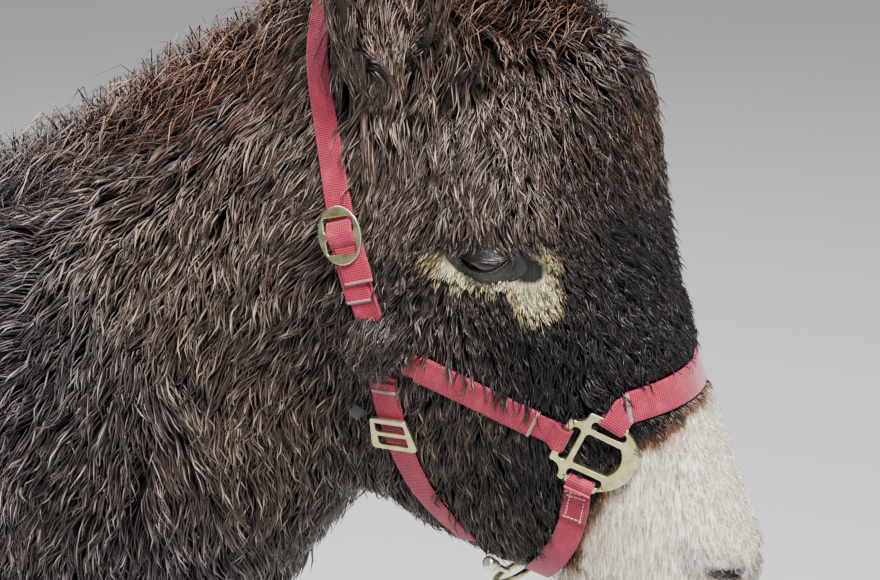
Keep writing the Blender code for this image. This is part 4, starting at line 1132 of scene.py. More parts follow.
def lidRim(opening):
    # the lids' outer edge, an oval, point for point with the opening
    tilt = math.radians(lidEdge["tilt"])
    centre = Vector(lidEdge["middle"])
    rim = []
    for place in opening:
        away = place - centre
        x = away.x * math.cos(tilt) + away.y * math.sin(tilt)
        y = away.y * math.cos(tilt) - away.x * math.sin(tilt)
        turn = math.atan2(y / 5.0, x / 16.0)
        x, y = lidEdge["long"] * math.cos(turn), lidEdge["high"] * math.sin(turn)
        rim.append(centre + Vector((x * math.cos(tilt) - y * math.sin(tilt),
                                    x * math.sin(tilt) + y * math.cos(tilt))))
    return rim


def foldDepth(share, turn):
    # how deep the lids' folds are, that share of the way out and that share of the way round; the upper lid's
    # are deeper, and all fade towards the corners
    fold = sum(deep * math.exp(-(((share - at) / wide) ** 2)) for at, deep, wide in lidFolds)
    fold *= 1.0 if turn < lidMake["lowerFrom"] else lidMake["lowerFolds"]
    return fold * min(1.0, abs(turn - lidMake["lowerFrom"]) * 7) * min(1.0, min(turn, 1 - turn) * 9)


def makeLids(name, side):
    centre = middle(f"eye_{name}")
    count = lidMake["turns"]
    opening = closedCurve(lidOpening(), count)
    rim = lidRim(opening)
    ball = eyeMake["radius"] + eyeMake["cornea"] + 0.0002
    bm = bmesh.new()
    rings = []
    for share in lidMake["shares"]:
        blend = float(smoothStep(0.10, 0.9, share))
        sunk = float(smoothStep(0.62, 1.0, share))
        plump = lidMake["plump"] * math.exp(-(((share - lidMake["plumpAt"]) / lidMake["plumpWide"]) ** 2))
        bulk = lidMake["bulk"] * float(smoothStep(0.02, 0.14, share))
        ring = []
        for k, (near, far) in enumerate(zip(opening, rim)):
            place = near.lerp(far, max(share, 0.0))
            onBall = math.sqrt(max(ball**2 - place.length_squared, (0.45 * ball) ** 2))
            spot = centre + noseWay * place.x + browWay * place.y
            hit = skinTree.ray_cast(Vector((spot.x, side * 0.16, spot.z)), Vector((0, -side, 0)))[0]
            onSkin = side * hit.y - side * centre.y if hit else onBall - 0.006
            out = max(mixed(onBall, onSkin, blend), onSkin + 0.0010 * (1 - sunk) if share > 0.1 else -1)
            out += (plump - foldDepth(share, k / count)) * (1 - sunk) - lidMake["sunk"] * sunk
            out += bulk * (1 - sunk)
            if place.length < ball:  # a fold never cuts into the ball
                out = max(out, math.sqrt(ball**2 - place.length_squared) + 0.0003)
            if share < 0:  # the wet edge turns in to the ball
                out = onBall - lidMake["turnsIn"]
            ring.append(bm.verts.new(spot + leftWay * side * out))
        rings.append(ring)
    for near, far in zip(rings, rings[1:]):
        for k in range(count):
            n = (k + 1) % count
            bm.faces.new((near[k], near[n], far[n], far[k])).smooth = True
    obj = madeObject(f"eyelids_{name}", bm)
    if obj.data.polygons[count * 4].normal.y * side < 0:
        obj.data.flip_normals()
    thick = obj.modifiers.new("lid_thickness", "SOLIDIFY")
    thick.thickness = lidMake["thick"]
    thick.offset = -1
    rounder(obj, 1)
    return obj, opening


eyeMaterial, tree, shader = newMaterial("wet_eye", {"Roughness": 0.06, "IOR": 1.38, "Coat Weight": 1.0,
                                                    "Coat Roughness": 0.02})
colour = addNode(tree, "ShaderNodeVertexColor", {"layer_name": "irisColour"})
tree.links.new(colour.outputs["Color"], shader.inputs["Base Color"])
# Bare lid skin: nearly black, finely wrinkled and a little greasy
lidMaterial, tree, shader = newMaterial("bare_lid_skin", {"Roughness": 0.36, "Specular IOR Level": 0.6})
place = objectSpace(tree)
mottle = addNoise(tree, place, {"Scale": 260.0, "Detail": 5.0})
tree.links.new(addRamp(tree, mottle, (0.3, "#0c0909"), (0.75, "#181413")), shader.inputs["Base Color"])
wrinkle = addNoise(tree, place, {"Scale": 700.0, "Detail": 4.0, "Distortion": 1.5})
addBump(tree, shader, wrinkle, 0.6, 0.0006)


lashMake = {"short": 0.011, "long": 0.019, "half": 0.00024, "shares": (0, 0.3, 0.65, 1.0)}
lashCodes = ("#0c0908", "#17110f", "#3b2f2a")


def lashesFor(name, side, opening):
    # lashes along the upper lid: rooted on every other place of its edge, out over the eye and drooping
    centre = middle(f"eye_{name}")
    roots, paths, ups = [], [], []
    for k, place in enumerate(opening):
        run = (opening[(k + 1) % len(opening)] - opening[k - 1]).normalized()
        outward = Vector((run.y, -run.x))
        if outward.dot(place + Vector((0.003, 0.001))) <= 0:
            outward = -outward
        if outward.x > -0.15 or k % 2:
            continue
        onBall = math.sqrt(max((eyeMake["radius"] + 0.0018) ** 2 - place.length_squared, 0.0001))
        root = centre + noseWay * place.x + browWay * place.y + leftWay * side * (onBall + 0.0006)
        long = rng.uniform(lashMake["short"], lashMake["long"])
        lean = noseWay * rng.uniform(0.25, 0.7) + browWay * rng.normal(0, 0.35) + leftWay * side
        lean.normalize()
        droop = (noseWay * 0.9 - browWay * 0.3) * (long * 0.75)
        roots.append(root)
        paths.append([root + lean * (long * t) + droop * (t * t) for t in lashMake["shares"]])
        ups.append([leftWay * side] * len(lashMake["shares"]))
    return np.array(roots), np.array(paths), np.array(ups)


lashRoots, lashPaths, lashUps = [], [], []
for name, side in (("right", -1), ("left", 1)):
    finish(makeEye(name, side), eyeMaterial, "eye", f"eye_{name}")
    lids, opening = makeLids(name, side)
    finish(lids, lidMaterial, "coat")
    for store, made in zip((lashRoots, lashPaths, lashUps), lashesFor(name, side, opening)):
        store.append(made)
lashRoots, lashPaths, lashUps = map(np.concatenate, (lashRoots, lashPaths, lashUps))
lashHairs = np.tile(np.array([linear(code) for code in lashCodes]), (len(lashRoots), 1, 1))
lashes = tuftMesh("eyelashes", lashPaths, lashUps, np.full(len(lashRoots), lashMake["half"]), lashHairs,
                  np.ones(len(lashRoots)), placesOn(lashRoots))
finish(lashes, hairMaterial, "coat")
print("eyes made:", len(lashRoots), "lashes")


# The mane: hair from the crest of the neck out to the mane's own outline, falling over to the sides.
maneMake = {"tufts": 4300, "wide": 2.2, "points": 5, "fall": 0.045, "wave": 0.0035}


def growMane():
    bm = welded("mane")
    bmesh.ops.triangulate(bm, faces=bm.faces)
    tips, ways, areas = [], [], []
    for face in bm.faces:
        tips.append([v.co for v in face.verts])
        ways.append(face.normal)
        areas.append(face.calc_area() * (1.0 if face.normal.z > -0.2 else 0.05))
    tips, ways, areas = np.array(tips), np.array(ways), np.array(areas)
    count = maneMake["tufts"]
    chosen = rng.choice(len(tips), count, p=areas / areas.sum())
    tops = (tips[chosen] * cornerShares(count)).sum(1)
    out = ways[chosen]
    near, normals, kept = [], [], []
    for i, top in enumerate((tops * np.array([1, 0.35, 1])).tolist()):  # straight down to the crest
        hit = skinTree.ray_cast(Vector(top), Vector((0, 0, -1)), 0.09)
        hit = hit if hit[0] else skinTree.find_nearest(Vector(top))
        if not fleshNodes[nodeOfFace[hit[2]]].startswith("ear"):
            near.append(hit[0])
            normals.append(hit[1])
            kept.append(i)
    near, normals, tops, out = np.array(near), np.array(normals), tops[kept], out[kept]
    count = len(kept)
    lean = np.stack([rng.normal(-0.25, 0.22, count), np.sign(tops[:, 1]) * rng.uniform(0.3, 1.0, count),
                     -rng.uniform(0.2, 1.0, count)], 1)
    fall = maneMake["fall"] * rng.uniform(0.4, 1.3, count)[:, None]
    clump = patches(tops, 0.02)[:, None] * 0.006
    rise = tops - near
    paths = np.stack([near - normals * lockMake["rooted"],
                      near + rise * 0.30 + normals * 0.006,
                      near + rise * 0.58 + normals * 0.004 + lean * fall * 0.1,
                      near + rise * 0.92 + clump * out + lean * fall * 0.45,
                      near + rise * 0.94 + clump * out + lean * fall * 1.1], 1)
    paths[:, 2:] += rng.normal(0, maneMake["wave"], (count, 3, 3))
    ups = np.repeat(unit(out + normals * 0.3)[:, None], maneMake["points"], 1)
    hairs = tipsDustedAndLit(marksAt(tops))
    halves = maneMake["wide"] / 2000 * rng.uniform(0.6, 1.3, count)
    shades = np.clip(rng.normal(1, 0.2, count) * (1 + 0.25 * patches(tops, 0.012)), 0.4, 1.7)
    return tuftMesh("mane_hair", paths, ups, halves, hairs, shades, placesOn(near))


mane = growMane()
finish(mane, hairMaterial, "coat", "mane")
print("mane grown:", len(mane.data.polygons), "triangles")


# Horn of the hooves: grey-brown wall with growth rings, darker towards the ground
hornMake = {"ringApart": 0.0065, "ringWarp": 0.004, "dark": "#2b2521", "light": "#6d6053", "worn": "#4b4136",
            "groundFrom": 0.022, "groundTo": 0.002}
hoofMaterial, tree, shader = newMaterial("hoof_horn", {"Roughness": 0.5, "Specular IOR Level": 0.4,
                                                       "IOR": 1.54})
place = objectSpace(tree)
height = addNode(tree, "ShaderNodeSeparateXYZ", links={0: place}).outputs["Z"]
fibre = addNoise(tree, scaledSpace(tree, place, (420.0, 420.0, 30.0)), {"Scale": 1.0, "Detail": 4.0})
growth = addWave(tree, addScaled(tree, fibre, hornMake["ringWarp"], height), hornMake["ringApart"])
tone = addRamp(tree, fibre, (0.32, hornMake["dark"]), (0.70, hornMake["light"]))
# a plainer, darker colour towards the ground
towardGround = addRange(tree, height, hornMake["groundFrom"], hornMake["groundTo"], 0.0, 0.7)
tree.links.new(addOver(tree, towardGround, tone, hornMake["worn"]), shader.inputs["Base Color"])
addBump(tree, shader, addScaled(tree, growth, 0.8, fibre), 0.7, 0.0010)


def smoothCopy(node, name, levels=2):
    mesh = bpy.data.meshes.new(name)
    welded(node).to_mesh(mesh)
    obj = newObject(name, mesh)
    rounder(obj, levels)
    mesh.shade_smooth()
    return obj


for node in (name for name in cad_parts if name.startswith("hoof_")):
    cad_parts[node].data.materials.clear()
    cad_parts[node].data.materials.append(hoofMaterial)


# The halter. Each strap follows the middle line of its solid, found again from the solid's own sections.
strapMake = {"solidWide": 0.025, "solidThick": 0.0026, "step": 0.002}


def strapRings(node):
    # middle and outward way of each section of a strap's solid, in order along it
    bm = welded(node)
    partner, ringOf, rings = {}, {}, []
    for edge in bm.edges:
        if abs(edge.calc_length() - strapMake["solidThick"]) < 1e-4:
            a, b = edge.verts
            partner[a], partner[b] = b, a
    for edge in bm.edges:
        a, b = edge.verts
        if abs(edge.calc_length() - strapMake["solidWide"]) < 1e-4 and a not in ringOf:
            corners = (a, b, partner[a], partner[b])
            for corner in corners:
                ringOf[corner] = len(rings)
            centre = sum((c.co for c in corners), Vector()) / 4
            out = (partner[a].co - a.co).normalized()
            inner = skinTree.find_nearest(centre)[0]
            rings.append((centre, out if out.dot(centre - inner) > 0 else -out))
    beside = {k: set() for k in range(len(rings))}
    for edge in bm.edges:
        a, b = (ringOf[v] for v in edge.verts)
        if a != b:
            beside[a].add(b)
            beside[b].add(a)
    order = [min(k for k in beside if len(beside[k]) == 1)]
    while len(order) < len(rings):
        order.append(next(k for k in beside[order[-1]] if k not in order))
    return [rings[k] for k in order]


def fromTowards(rings, start):
    # the rings, ordered so that they start at the end nearer to that point
    near = (rings[0][0] - start).length < (rings[-1][0] - start).length
    return rings if near else rings[::-1]


def route(rings):
    # a smooth, evenly stepped line through the rings: middles and outward ways
    points = [Vector(ring[0]) for ring in rings]
    outs = [Vector(ring[1]) for ring in rings]
    line = []
    for k in range(len(points) - 1):
        a, b, c, d = (points[min(max(k + j, 0), len(points) - 1)] for j in (-1, 0, 1, 2))
        steps = max(2, round((c - b).length / strapMake["step"]))
        for j in range(steps):
            t = j / steps
            line.append((curveBetween(a, b, c, d, t), mixed(outs[k], outs[k + 1], t).normalized()))
    line.append((points[-1], outs[-1]))
    return line


loopMake = {"reach": 0.0036, "rise": 0.0033, "tuck": 0.007}


def wrapped(line, bar):
    # carries the end of a line over a bar, round it and back underneath
    reach, rise, tuck = loopMake["reach"], loopMake["rise"], loopMake["tuck"]
    last, out = line[-1]
    ahead = bar - last
    ahead = (ahead - out * ahead.dot(out)).normalized()
    made = [(bar - ahead * 0.003 + out * rise, out)] if (bar - last).dot(ahead) > 0.006 else []
    for degrees in range(0, 181, 20):
        turn = math.radians(degrees)
        made.append((bar + ahead * reach * math.sin(turn) + out * rise * math.cos(turn),
                     (ahead * rise * math.sin(turn) + out * reach * math.cos(turn)).normalized()))
    made += [(bar - ahead * tuck * share - out * rise, -out) for share in (0.4, 0.7, 1.0)]
    return line + made


def stretch(line, start, end):
    # the part of a line between two distances along it
    along, part = 0.0, []
    for k, (place, out) in enumerate(line):
        along += (place - line[k - 1][0]).length if k else 0
        if start <= along <= end:
            part.append((place, out))
    return part


def lineLength(line):
    return sum((b[0] - a[0]).length for a, b in zip(line, line[1:]))


def addWebbing(bm, line, wide, thick, lift=0.0, aside=0.0, puff=0.0):
    # one layer of webbing along the line; its map is in millimetres, across and along
    weave = bm.loops.layers.uv.get("weaveMap") or bm.loops.layers.uv.new("weaveMap")
    half, edge = wide / 2, thick * 0.45
    top = [(-half, 0.0), (-half + edge * 0.3, thick * 0.36), (-half + edge, thick / 2)]
    inner = half - edge
    top += [(inner * share, thick / 2 + puff * (1 - abs(share) ** 4))
            for share in (-0.8, -0.45, 0, 0.45, 0.8)]
    top += [(-x, y) for x, y in top[2::-1]]
    section = top + [(x, -y) for x, y in ((inner, thick / 2), (0.0, thick / 2), (-inner, thick / 2))]
    rings, lengths, along = [], [], 0.0
    for k, (place, out) in enumerate(line):
        ahead = (line[min(k + 1, len(line) - 1)][0] - line[max(k - 1, 0)][0]).normalized()
        across = ahead.cross(out).normalized()
        up = across.cross(ahead).normalized()
        along += (place - line[k - 1][0]).length if k else 0
        lengths.append(along * 1000)
        rings.append([bm.verts.new(place + across * (x + aside) + up * (y + lift)) for x, y in section])
    count = len(section)
    for k in range(len(rings) - 1):
        for j in range(count):
            n = (j + 1) % count
            face = bm.faces.new((rings[k][j], rings[k][n], rings[k + 1][n], rings[k + 1][j]))
            face.smooth = True
            for loop, (ring, corner) in zip(face.loops, ((k, j), (k, n), (k + 1, n), (k + 1, j))):
                loop[weave].uv = (section[corner][0] * 1000, lengths[ring])
    bm.faces.new(rings[0][::-1])
    bm.faces.new(rings[-1])


def addStitches(bm, line, at, fromSide, toSide, long=0.0022, gap=0.0009, turned=False):
    # a row of sewn stitches across the line at a distance along it, or along it where turned
    thread, low, lift = 0.0005, 0.0028, 0.0031
    (place, out), (after, _) = stretch(line, at, 9)[:2]
    ahead = (after - place).normalized()
    run = ahead if turned else ahead.cross(out).normalized()
    start = fromSide
    while start < toSide:
        end = min(start + long, toSide)
        a, b = place + run * start, place + run * end
        up, inward = out * lift, run * 0.0004
        addTube(bm, [a + out * low, a + inward + up, b - inward + up, b + out * low],
                [0.0002, thread, thread, 0.0002], 5)
        start = end + gap


def addTube(bm, path, radii, sides, closed=False):
    rings = []
    for k, place in enumerate(path):
        before = path[k - 1] if k or closed else place
        after = path[(k + 1) % len(path)] if k + 1 < len(path) or closed else place
        ahead = (after - before).normalized()
        across = ahead.cross(Vector((0.31, 0.22, 0.92))).normalized()
        up = across.cross(ahead)
        turns = [2 * math.pi * j / sides for j in range(sides)]
        spokes = [across * math.cos(turn) + up * math.sin(turn) for turn in turns]
        rings.append([bm.verts.new(place + spoke * radii[k]) for spoke in spokes])
    pairs = list(zip(rings, rings[1:])) + ([(rings[-1], rings[0])] if closed else [])
    for near, far in pairs:
        for j in range(sides):
            n = (j + 1) % sides
            bm.faces.new((near[j], near[n], far[n], far[j])).smooth = True
    if not closed:
        bm.faces.new(rings[0][::-1])
        bm.faces.new(rings[-1])


def plateFrame(node, towards):
    # where a flat fitting lies: its middle, and its ways towards a point, across, and outwards
    points = np.array([vertex.co for vertex in welded(node).verts])
    centre = points.mean(0)
    ways = np.linalg.svd(points - centre)[2]
    out = Vector(ways[2])
    centre = Vector(centre)
    if out.dot(centre - skinTree.find_nearest(centre)[0]) < 0:
        out = -out
    ahead = towards - centre
    ahead = (ahead - out * ahead.dot(out)).normalized()
    return centre, ahead, out.cross(ahead), out


def onPlate(plate, x, y, z=0.0):
    centre, ahead, across, out = plate
    return centre + ahead * x + across * y + out * z


def addPlate(bm, plate, outline, holes, thick):
    # a flat plate of that outline with its holes, in the plate's own ways
    flat = bmesh.new()
    for loop in (outline, *holes):
        corners = [flat.verts.new((x, y, -thick / 2)) for x, y in loop]
        for a, b in zip(corners, corners[1:] + corners[:1]):
            flat.edges.new((a, b))
    bmesh.ops.triangle_fill(flat, edges=flat.edges[:], use_beauty=True)
    made = bmesh.ops.extrude_face_region(flat, geom=flat.faces[:])["geom"]
    bmesh.ops.translate(flat, verts=[v for v in made if isinstance(v, bmesh.types.BMVert)], vec=(0, 0, thick))
    centre, ahead, across, out = plate
    turned = Matrix((ahead, across, out)).transposed().to_4x4()
    bmesh.ops.transform(flat, matrix=Matrix.Translation(centre) @ turned, verts=flat.verts)
    part = bpy.data.meshes.new("plate")
    flat.to_mesh(part)
    bm.from_mesh(part)


def rounded(obj, width, segments=3):
    bevel = obj.modifiers.new("worn_edges", "BEVEL")
    bevel.width = width
    bevel.segments = segments
    bevel.limit_method = "ANGLE"
    bevel.angle_limit = math.radians(40)
    obj.data.shade_smooth()
    normals = obj.modifiers.new("flat_faces", "WEIGHTED_NORMAL")
    normals.keep_sharp = False
    return obj


def slotOutline(x, y, halfX, halfY, corner):
    points = []
    for sx, sy, first in ((1, 1, 0), (-1, 1, 90), (-1, -1, 180), (1, -1, 270)):
        for degrees in (0, 30, 60, 90):
            turn = math.radians(first + degrees)
            points.append((x + sx * (halfX - corner) + math.cos(turn) * corner,
                           y + sy * (halfY - corner) + math.sin(turn) * corner))
    return points


def arc(x, y, radius, start, end, steps):
    turns = [math.radians(start + (end - start) * k / steps) for k in range(steps + 1)]
    return [(x + math.cos(t) * radius, y + math.sin(t) * radius) for t in turns]


squareMake = {"half": 0.030, "hole": 0.0135, "bar": 0.0045, "slot": 0.0070, "slotHalf": 0.0145,
              "notch": 0.0272, "notchRadius": 0.0088, "horn": 0.0160, "blade": 0.0305, "thick": 0.0042}


def squareShape(chinSide):
    # three slotted sides with horned corners, and a crescent blade on the fourth
    make = squareMake
    half, notch, horn, hole = make["half"], make["notch"], make["horn"], make["hole"]
    steps = ((0.0, 0.0), (0.0008, 0.0020), (0.0026, 0.0028))  # a horn's rounded corner: inward and along
    outline = [(half, -horn)] + [(half - inward, horn + along) for inward, along in steps]
    outline += arc(notch, notch, make["notchRadius"], 262, 188, 7)
    outline += [(horn + along, half - inward) for inward, along in steps[::-1]]
    blade = math.degrees(math.acos(0.40))
    outline += [(-0.012, half), *arc(0, 0, make["blade"], 180 - blade, 180 + blade, 12), (-0.012, -half)]
    outline += [(horn + along, inward - half) for inward, along in steps]
    outline += arc(notch, -notch, make["notchRadius"], 172, 98, 7)
    outline += [(half - inward, -horn - along) for inward, along in steps[:0:-1]]
    corner = 0.003
    middleHole = arc(hole - corner, hole - corner, corner, 0, 90, 3)
    middleHole += arc(0, 0, 0.0185, 136, 224, 8)
    middleHole += arc(hole - corner, corner - hole, corner, 270, 360, 3)
    at = hole + make["bar"] + make["slot"] / 2
    slots = [slotOutline(at, 0, make["slot"] / 2, make["slotHalf"], corner)]
    slots += [slotOutline(0.0, way * at, make["slotHalf"] - 0.001, make["slot"] / 2, corner)
              for way in (1, -1)]
    return [[(x, y * chinSide) for x, y in loop] for loop in (outline, middleHole, *slots)]


webbingObjects, brassObjects = [], []
stitching = bmesh.new()
seamBars = bmesh.new()
nosebandRings = fromTowards(strapRings("halter_noseband"), middle("halter_square_right"))
crownRings = fromTowards(strapRings("halter_crown"), middle("halter_ring_right"))
squarePlates = {}
outerBar = squareMake["half"] - 0.0024  # from a square's middle to the bars that the straps loop round
# width and thickness of a strap's looped end, its padded stretch, a flat strap, and a sewn bar across padding
looped, padded = (0.0205, 0.0020), (0.0245, 0.0034)
flatStrap, sewnBar = (0.0215, 0.0022), (0.0238, 0.0012)

for side in ("right", "left"):
    ring, square = middle(f"halter_ring_{side}"), middle(f"halter_square_{side}")
    cheek, chin, throat = (fromTowards(strapRings(f"halter_{name}_{side}"), start)
                           for name, start in (("cheek", square), ("chin", square), ("throat", ring)))
    plate = plateFrame(f"halter_square_{side}", cheek[0][0])
    # the plate's own corner frame: its three straight sides lie the same distance from its middle
    flat = [(Vector(v.co) - plate[0]) for v in welded(f"halter_square_{side}").verts]
    xs, ys = [v.dot(plate[1]) for v in flat], [v.dot(plate[2]) for v in flat]
    plate = (onPlate(plate, max(xs) - 0.031, (max(ys) + min(ys)) / 2, 0.0015), *plate[1:])
    chinSide = 1 if (chin[0][0] - plate[0]).dot(plate[2]) > 0 else -1
    squarePlates[side] = (plate, chinSide)
    bm = bmesh.new()
    outline, *holes = squareShape(chinSide)
    addPlate(bm, plate, outline, holes, squareMake["thick"])
    brassObjects.append((rounded(madeObject(f"square_{side}", bm), 0.0010), f"halter_square_{side}"))

    # cheek strap: webbing doubled round a core, its two ends narrowed into loops
    barPlace = onPlate(plate, outerBar, 0)
    line = wrapped(route(cheek[::-1]), barPlace)
    whole = lineLength(line)
    bm = bmesh.new()
    seamAt = whole - 0.0415
    addWebbing(bm, stretch(line, 0.0, whole), *looped, lift=0.0004)
    addWebbing(bm, stretch(line, 0.010, seamAt), *padded, lift=0.0006, puff=0.0004)
    addWebbing(seamBars, stretch(line, seamAt - 0.003, seamAt + 0.0012), *sewnBar, lift=0.0024)
    webbingObjects.append((madeObject(f"cheek_strap_{side}", bm), f"halter_cheek_{side}"))

    # chin strap: one loop at the square, then smoother webbing down to the ring
    barPlace = onPlate(plate, 0, outerBar * chinSide)
    line = wrapped(route(chin[::-1]), barPlace)
    whole = lineLength(line)
    bm = bmesh.new()
    addWebbing(bm, line, *looped, lift=0.0002)
    addWebbing(bm, stretch(line, whole - 0.060, whole - 0.0185), 0.0208, 0.0020, lift=0.0019)
    webbingObjects.append((madeObject(f"chin_strap_{side}", bm), f"halter_chin_{side}"))
    boxLow, boxHigh, boxEnd = -0.0075, 0.0080, whole - 0.0575
    addStitches(stitching, line, whole - 0.0335, -0.0095, 0.0095, 0.0030, 0.0004)
    for at in (whole - 0.0375, boxEnd):
        addStitches(stitching, line, at, boxLow, boxHigh)
    along = (line[1][0] - line[0][0]).normalized()
    for aside in (boxLow, boxHigh):
        beside = [(place + along.cross(out) * aside, out) for place, out in line]
        addStitches(stitching, beside, boxEnd, 0.0, 0.020, turned=True)

    # throat strap: flat, from the ring through the buckle and on to the chin
    line = route(throat)
    bm = bmesh.new()
    addWebbing(bm, line, *flatStrap, lift=0.0002)
    addWebbing(bm, stretch(line, 0.004, 0.046), *looped, lift=0.0020)
    webbingObjects.append((madeObject(f"throat_strap_{side}", bm), f"halter_throat_{side}"))
    addWebbing(seamBars, stretch(line, 0.011, 0.0145), 0.0200, 0.0010, lift=0.0032)

# noseband: the same padded webbing, looped into both squares
line = route(nosebandRings)
for side in ("left", "right"):
    plate, chinSide = squarePlates[side]
    line = wrapped(line, onPlate(plate, 0, -outerBar * chinSide))
    line = line[::-1]
whole = lineLength(line)
bm = bmesh.new()
loopEnd = 0.0345
addWebbing(bm, line, *looped, lift=0.0004)
addWebbing(bm, stretch(line, loopEnd, whole - loopEnd), 0.0245, 0.0036, lift=0.0006, puff=0.0004)
for at in (loopEnd, whole - loopEnd):
    addWebbing(seamBars, stretch(line, at - 0.0014, at + 0.0028), *sewnBar, lift=0.0025)
webbingObjects.append((madeObject("noseband", bm), "halter_noseband"))

# crown strap, from ring to ring over the poll, with its folded ends and the slide on each side
line = route(crownRings)
bm = bmesh.new()
addWebbing(bm, line, *flatStrap, lift=0.0002)
for side, way in (("right", 1), ("left", -1)):
    half = line if way > 0 else line[::-1]
    slide = middle(f"halter_slide_{side}")
    distances = [(place - slide).length for place, _ in half]
    at = lineLength(half[:distances.index(min(distances)) + 1])
    addWebbing(bm, stretch(half, 0.020, at + 0.004), *looped, lift=0.0022, aside=-0.002)
    addWebbing(bm, stretch(half, 0.034, at - 0.004), 0.0230, 0.0022, lift=0.0043, aside=0.003)
    for end, wide, lift, aside in ((0.0205, 0.0200, 0.0030, -0.002), (0.0345, 0.0224, 0.0052, 0.003)):
        addWebbing(seamBars, stretch(half, end, end + 0.0034), wide, 0.0010, lift=lift, aside=aside)
    # the webbing humps over the slide's middle bar
    hump = []
    for k in range(11):
        turn = math.pi * k / 10
        place, out = stretch(half, at - 0.010 + 0.0020 * k, 9)[0]
        hump.append((place + out * (0.0030 + 0.0052 * math.sin(turn) ** 0.7), out))
    addWebbing(bm, hump, 0.0215, 0.0024)
webbingObjects.append((madeObject("crown_strap", bm), "halter_crown"))

for side in ("right", "left"):
    ring = middle(f"halter_ring_{side}")
    plate = plateFrame(f"halter_slide_{side}", ring)
    bm = bmesh.new()
    slots = [slotOutline(way * 0.0078, 0, 0.0056, 0.0118, 0.002) for way in (1, -1)]
    outline = [(x * 0.0215, y * 0.0172) for x, y in arc(0, 0, 1, 0, 348, 29)]
    addPlate(bm, plate, outline, slots, 0.0026)
    brassObjects.append((rounded(madeObject(f"slide_{side}", bm), 0.0008), f"halter_slide_{side}"))

    plate = plateFrame(f"halter_buckle_{side}", ring)
    bm = bmesh.new()
    tapered = [(x, y * (1.10 if x < 0 else 0.90)) for x, y in slotOutline(0, 0, 0.0150, 0.0170, 0.0035)]
    slots = [slotOutline(way * 0.0063, 0, 0.0044, 0.0122, 0.0012) for way in (1, -1)]
    addPlate(bm, plate, tapered, slots, 0.0030)
    brassObjects.append((rounded(madeObject(f"buckle_{side}", bm), 0.0009), f"halter_buckle_{side}"))


for node, name in (("halter_ring_right", "cheek_ring_right"), ("halter_ring_left", "cheek_ring_left"),
                   ("halter_chin_ring", "chin_ring")):
    brassObjects.append((smoothCopy(node, name), node))

# snap hook: a swivel barrel on the throat strap and a bent hook that closes on the chin ring
snapPlate = plateFrame("halter_snap", middle("halter_chin_ring"))
bm = bmesh.new()
addTube(bm, [onPlate(snapPlate, x / 1000, 0) for x in (-17, -15, -9, -7, -3, 0)],
        [0.0030, 0.0052, 0.0052, 0.0036, 0.0046, 0.0040], 16)
hookPath = [onPlate(snapPlate, -0.002, 0)]
for degrees in range(-70, 231, 20):
    turn = math.radians(degrees)
    hookPath.append(onPlate(snapPlate, 0.0095 + 0.0072 * math.sin(turn), 0.0072 * math.cos(turn) - 0.001))
addTube(bm, hookPath, [0.0024] * len(hookPath), 10)
addTube(bm, [onPlate(snapPlate, x / 1000, -0.0062, 0.001) for x in (-4, -2, 6, 9)],
        [0.001, 0.0018, 0.0018, 0.001], 8)
brassObjects.append((madeObject("snap_hook", bm), "halter_snap"))

tagPlate = plateFrame("halter_tag", middle("halter_buckle_right"))
bm = bmesh.new()
tagLine = [(onPlate(tagPlate, 0, y / 1000, 0.0006 * math.cos(y * 0.3)), tagPlate[3]) for y in range(-7, 8)]
addWebbing(bm, tagLine, 0.0085, 0.0009)
tag = madeObject("blank_tag", bm)

# Nylon webbing: woven ribs that catch the light, dusty rose on the threads, and deep crimson in the grooves,
# which is painted shade
webbingMake = {"deep": "#42081a", "thread": "#a81a3c", "worn": "#cc4a66", "rib": 1.6, "roughness": 0.62}


def webbingMaterial(name, make):
    material, tree, shader = newMaterial(name, {"Roughness": make["roughness"], "Specular IOR Level": 0.35,
                                                "IOR": 1.53, "Sheen Weight": 0.35, "Sheen Roughness": 0.4})
    weaveMap = addNode(tree, "ShaderNodeUVMap", {"uv_map": "weaveMap"})
    split = addNode(tree, "ShaderNodeSeparateXYZ", links={0: weaveMap.outputs["UV"]})
    # the weft, one rib each step along the strap, crossed by the warp
    along = addRange(tree, addWave(tree, split.outputs["Y"], make["rib"]), -1.0, 1.0)
    across = addRange(tree, addWave(tree, split.outputs["X"], make["rib"] * 1.15, 0.6), -1.0, 1.0)
    dots = addNode(tree, "ShaderNodeMix", {"Factor": 0.42}, {2: along, 3: across}).outputs[0]
    place = objectSpace(tree)
    dust = addNoise(tree, place, {"Scale": 90.0, "Detail": 6.0, "Roughness": 0.65})
    fine = addNoise(tree, place, {"Scale": 1400.0, "Detail": 2.0})
    # the grooves between the ribs get the deep colour and the rib tops the thread colour: the grooves'
    # darkness is painted shade
    weave = addRamp(tree, dots, (0.12, make["deep"]), (0.62, make["thread"]))
    worn = addOver(tree, addRange(tree, dust, 0.5, 0.75, 0.0, 0.4), weave, make["worn"])
    tree.links.new(worn, shader.inputs["Base Color"])
    addBump(tree, shader, addScaled(tree, fine, 0.25, dots), 0.9, 0.0005)
    return material


paddedWebbing = webbingMaterial("woven_nylon_webbing", webbingMake)
# the bar tacks and the black tape get the same darker grooves: painted shade
seamMake = {"deep": "#6d4048", "thread": "#a58a88", "worn": "#b9a49c", "rib": 0.9, "roughness": 0.7}
tagMake = {"deep": "#08080a", "thread": "#1b1b1f", "worn": "#2c2b2e", "rib": 0.7, "roughness": 0.6}
seamWebbing = webbingMaterial("sewn_bar_tack", seamMake)
tagWebbing = webbingMaterial("black_woven_tape", tagMake)
threadMaterial, tree, shader = newMaterial("polyester_thread", {"Base Color": rgba("#d8b9b4"),
                                                                "Roughness": 0.55, "Sheen Weight": 0.3})
fibres = addNode(tree, "ShaderNodeTexNoise", {"Scale": 900.0, "Detail": 3.0})
addBump(tree, shader, fibres.outputs["Fac"], 0.4, 0.0002)

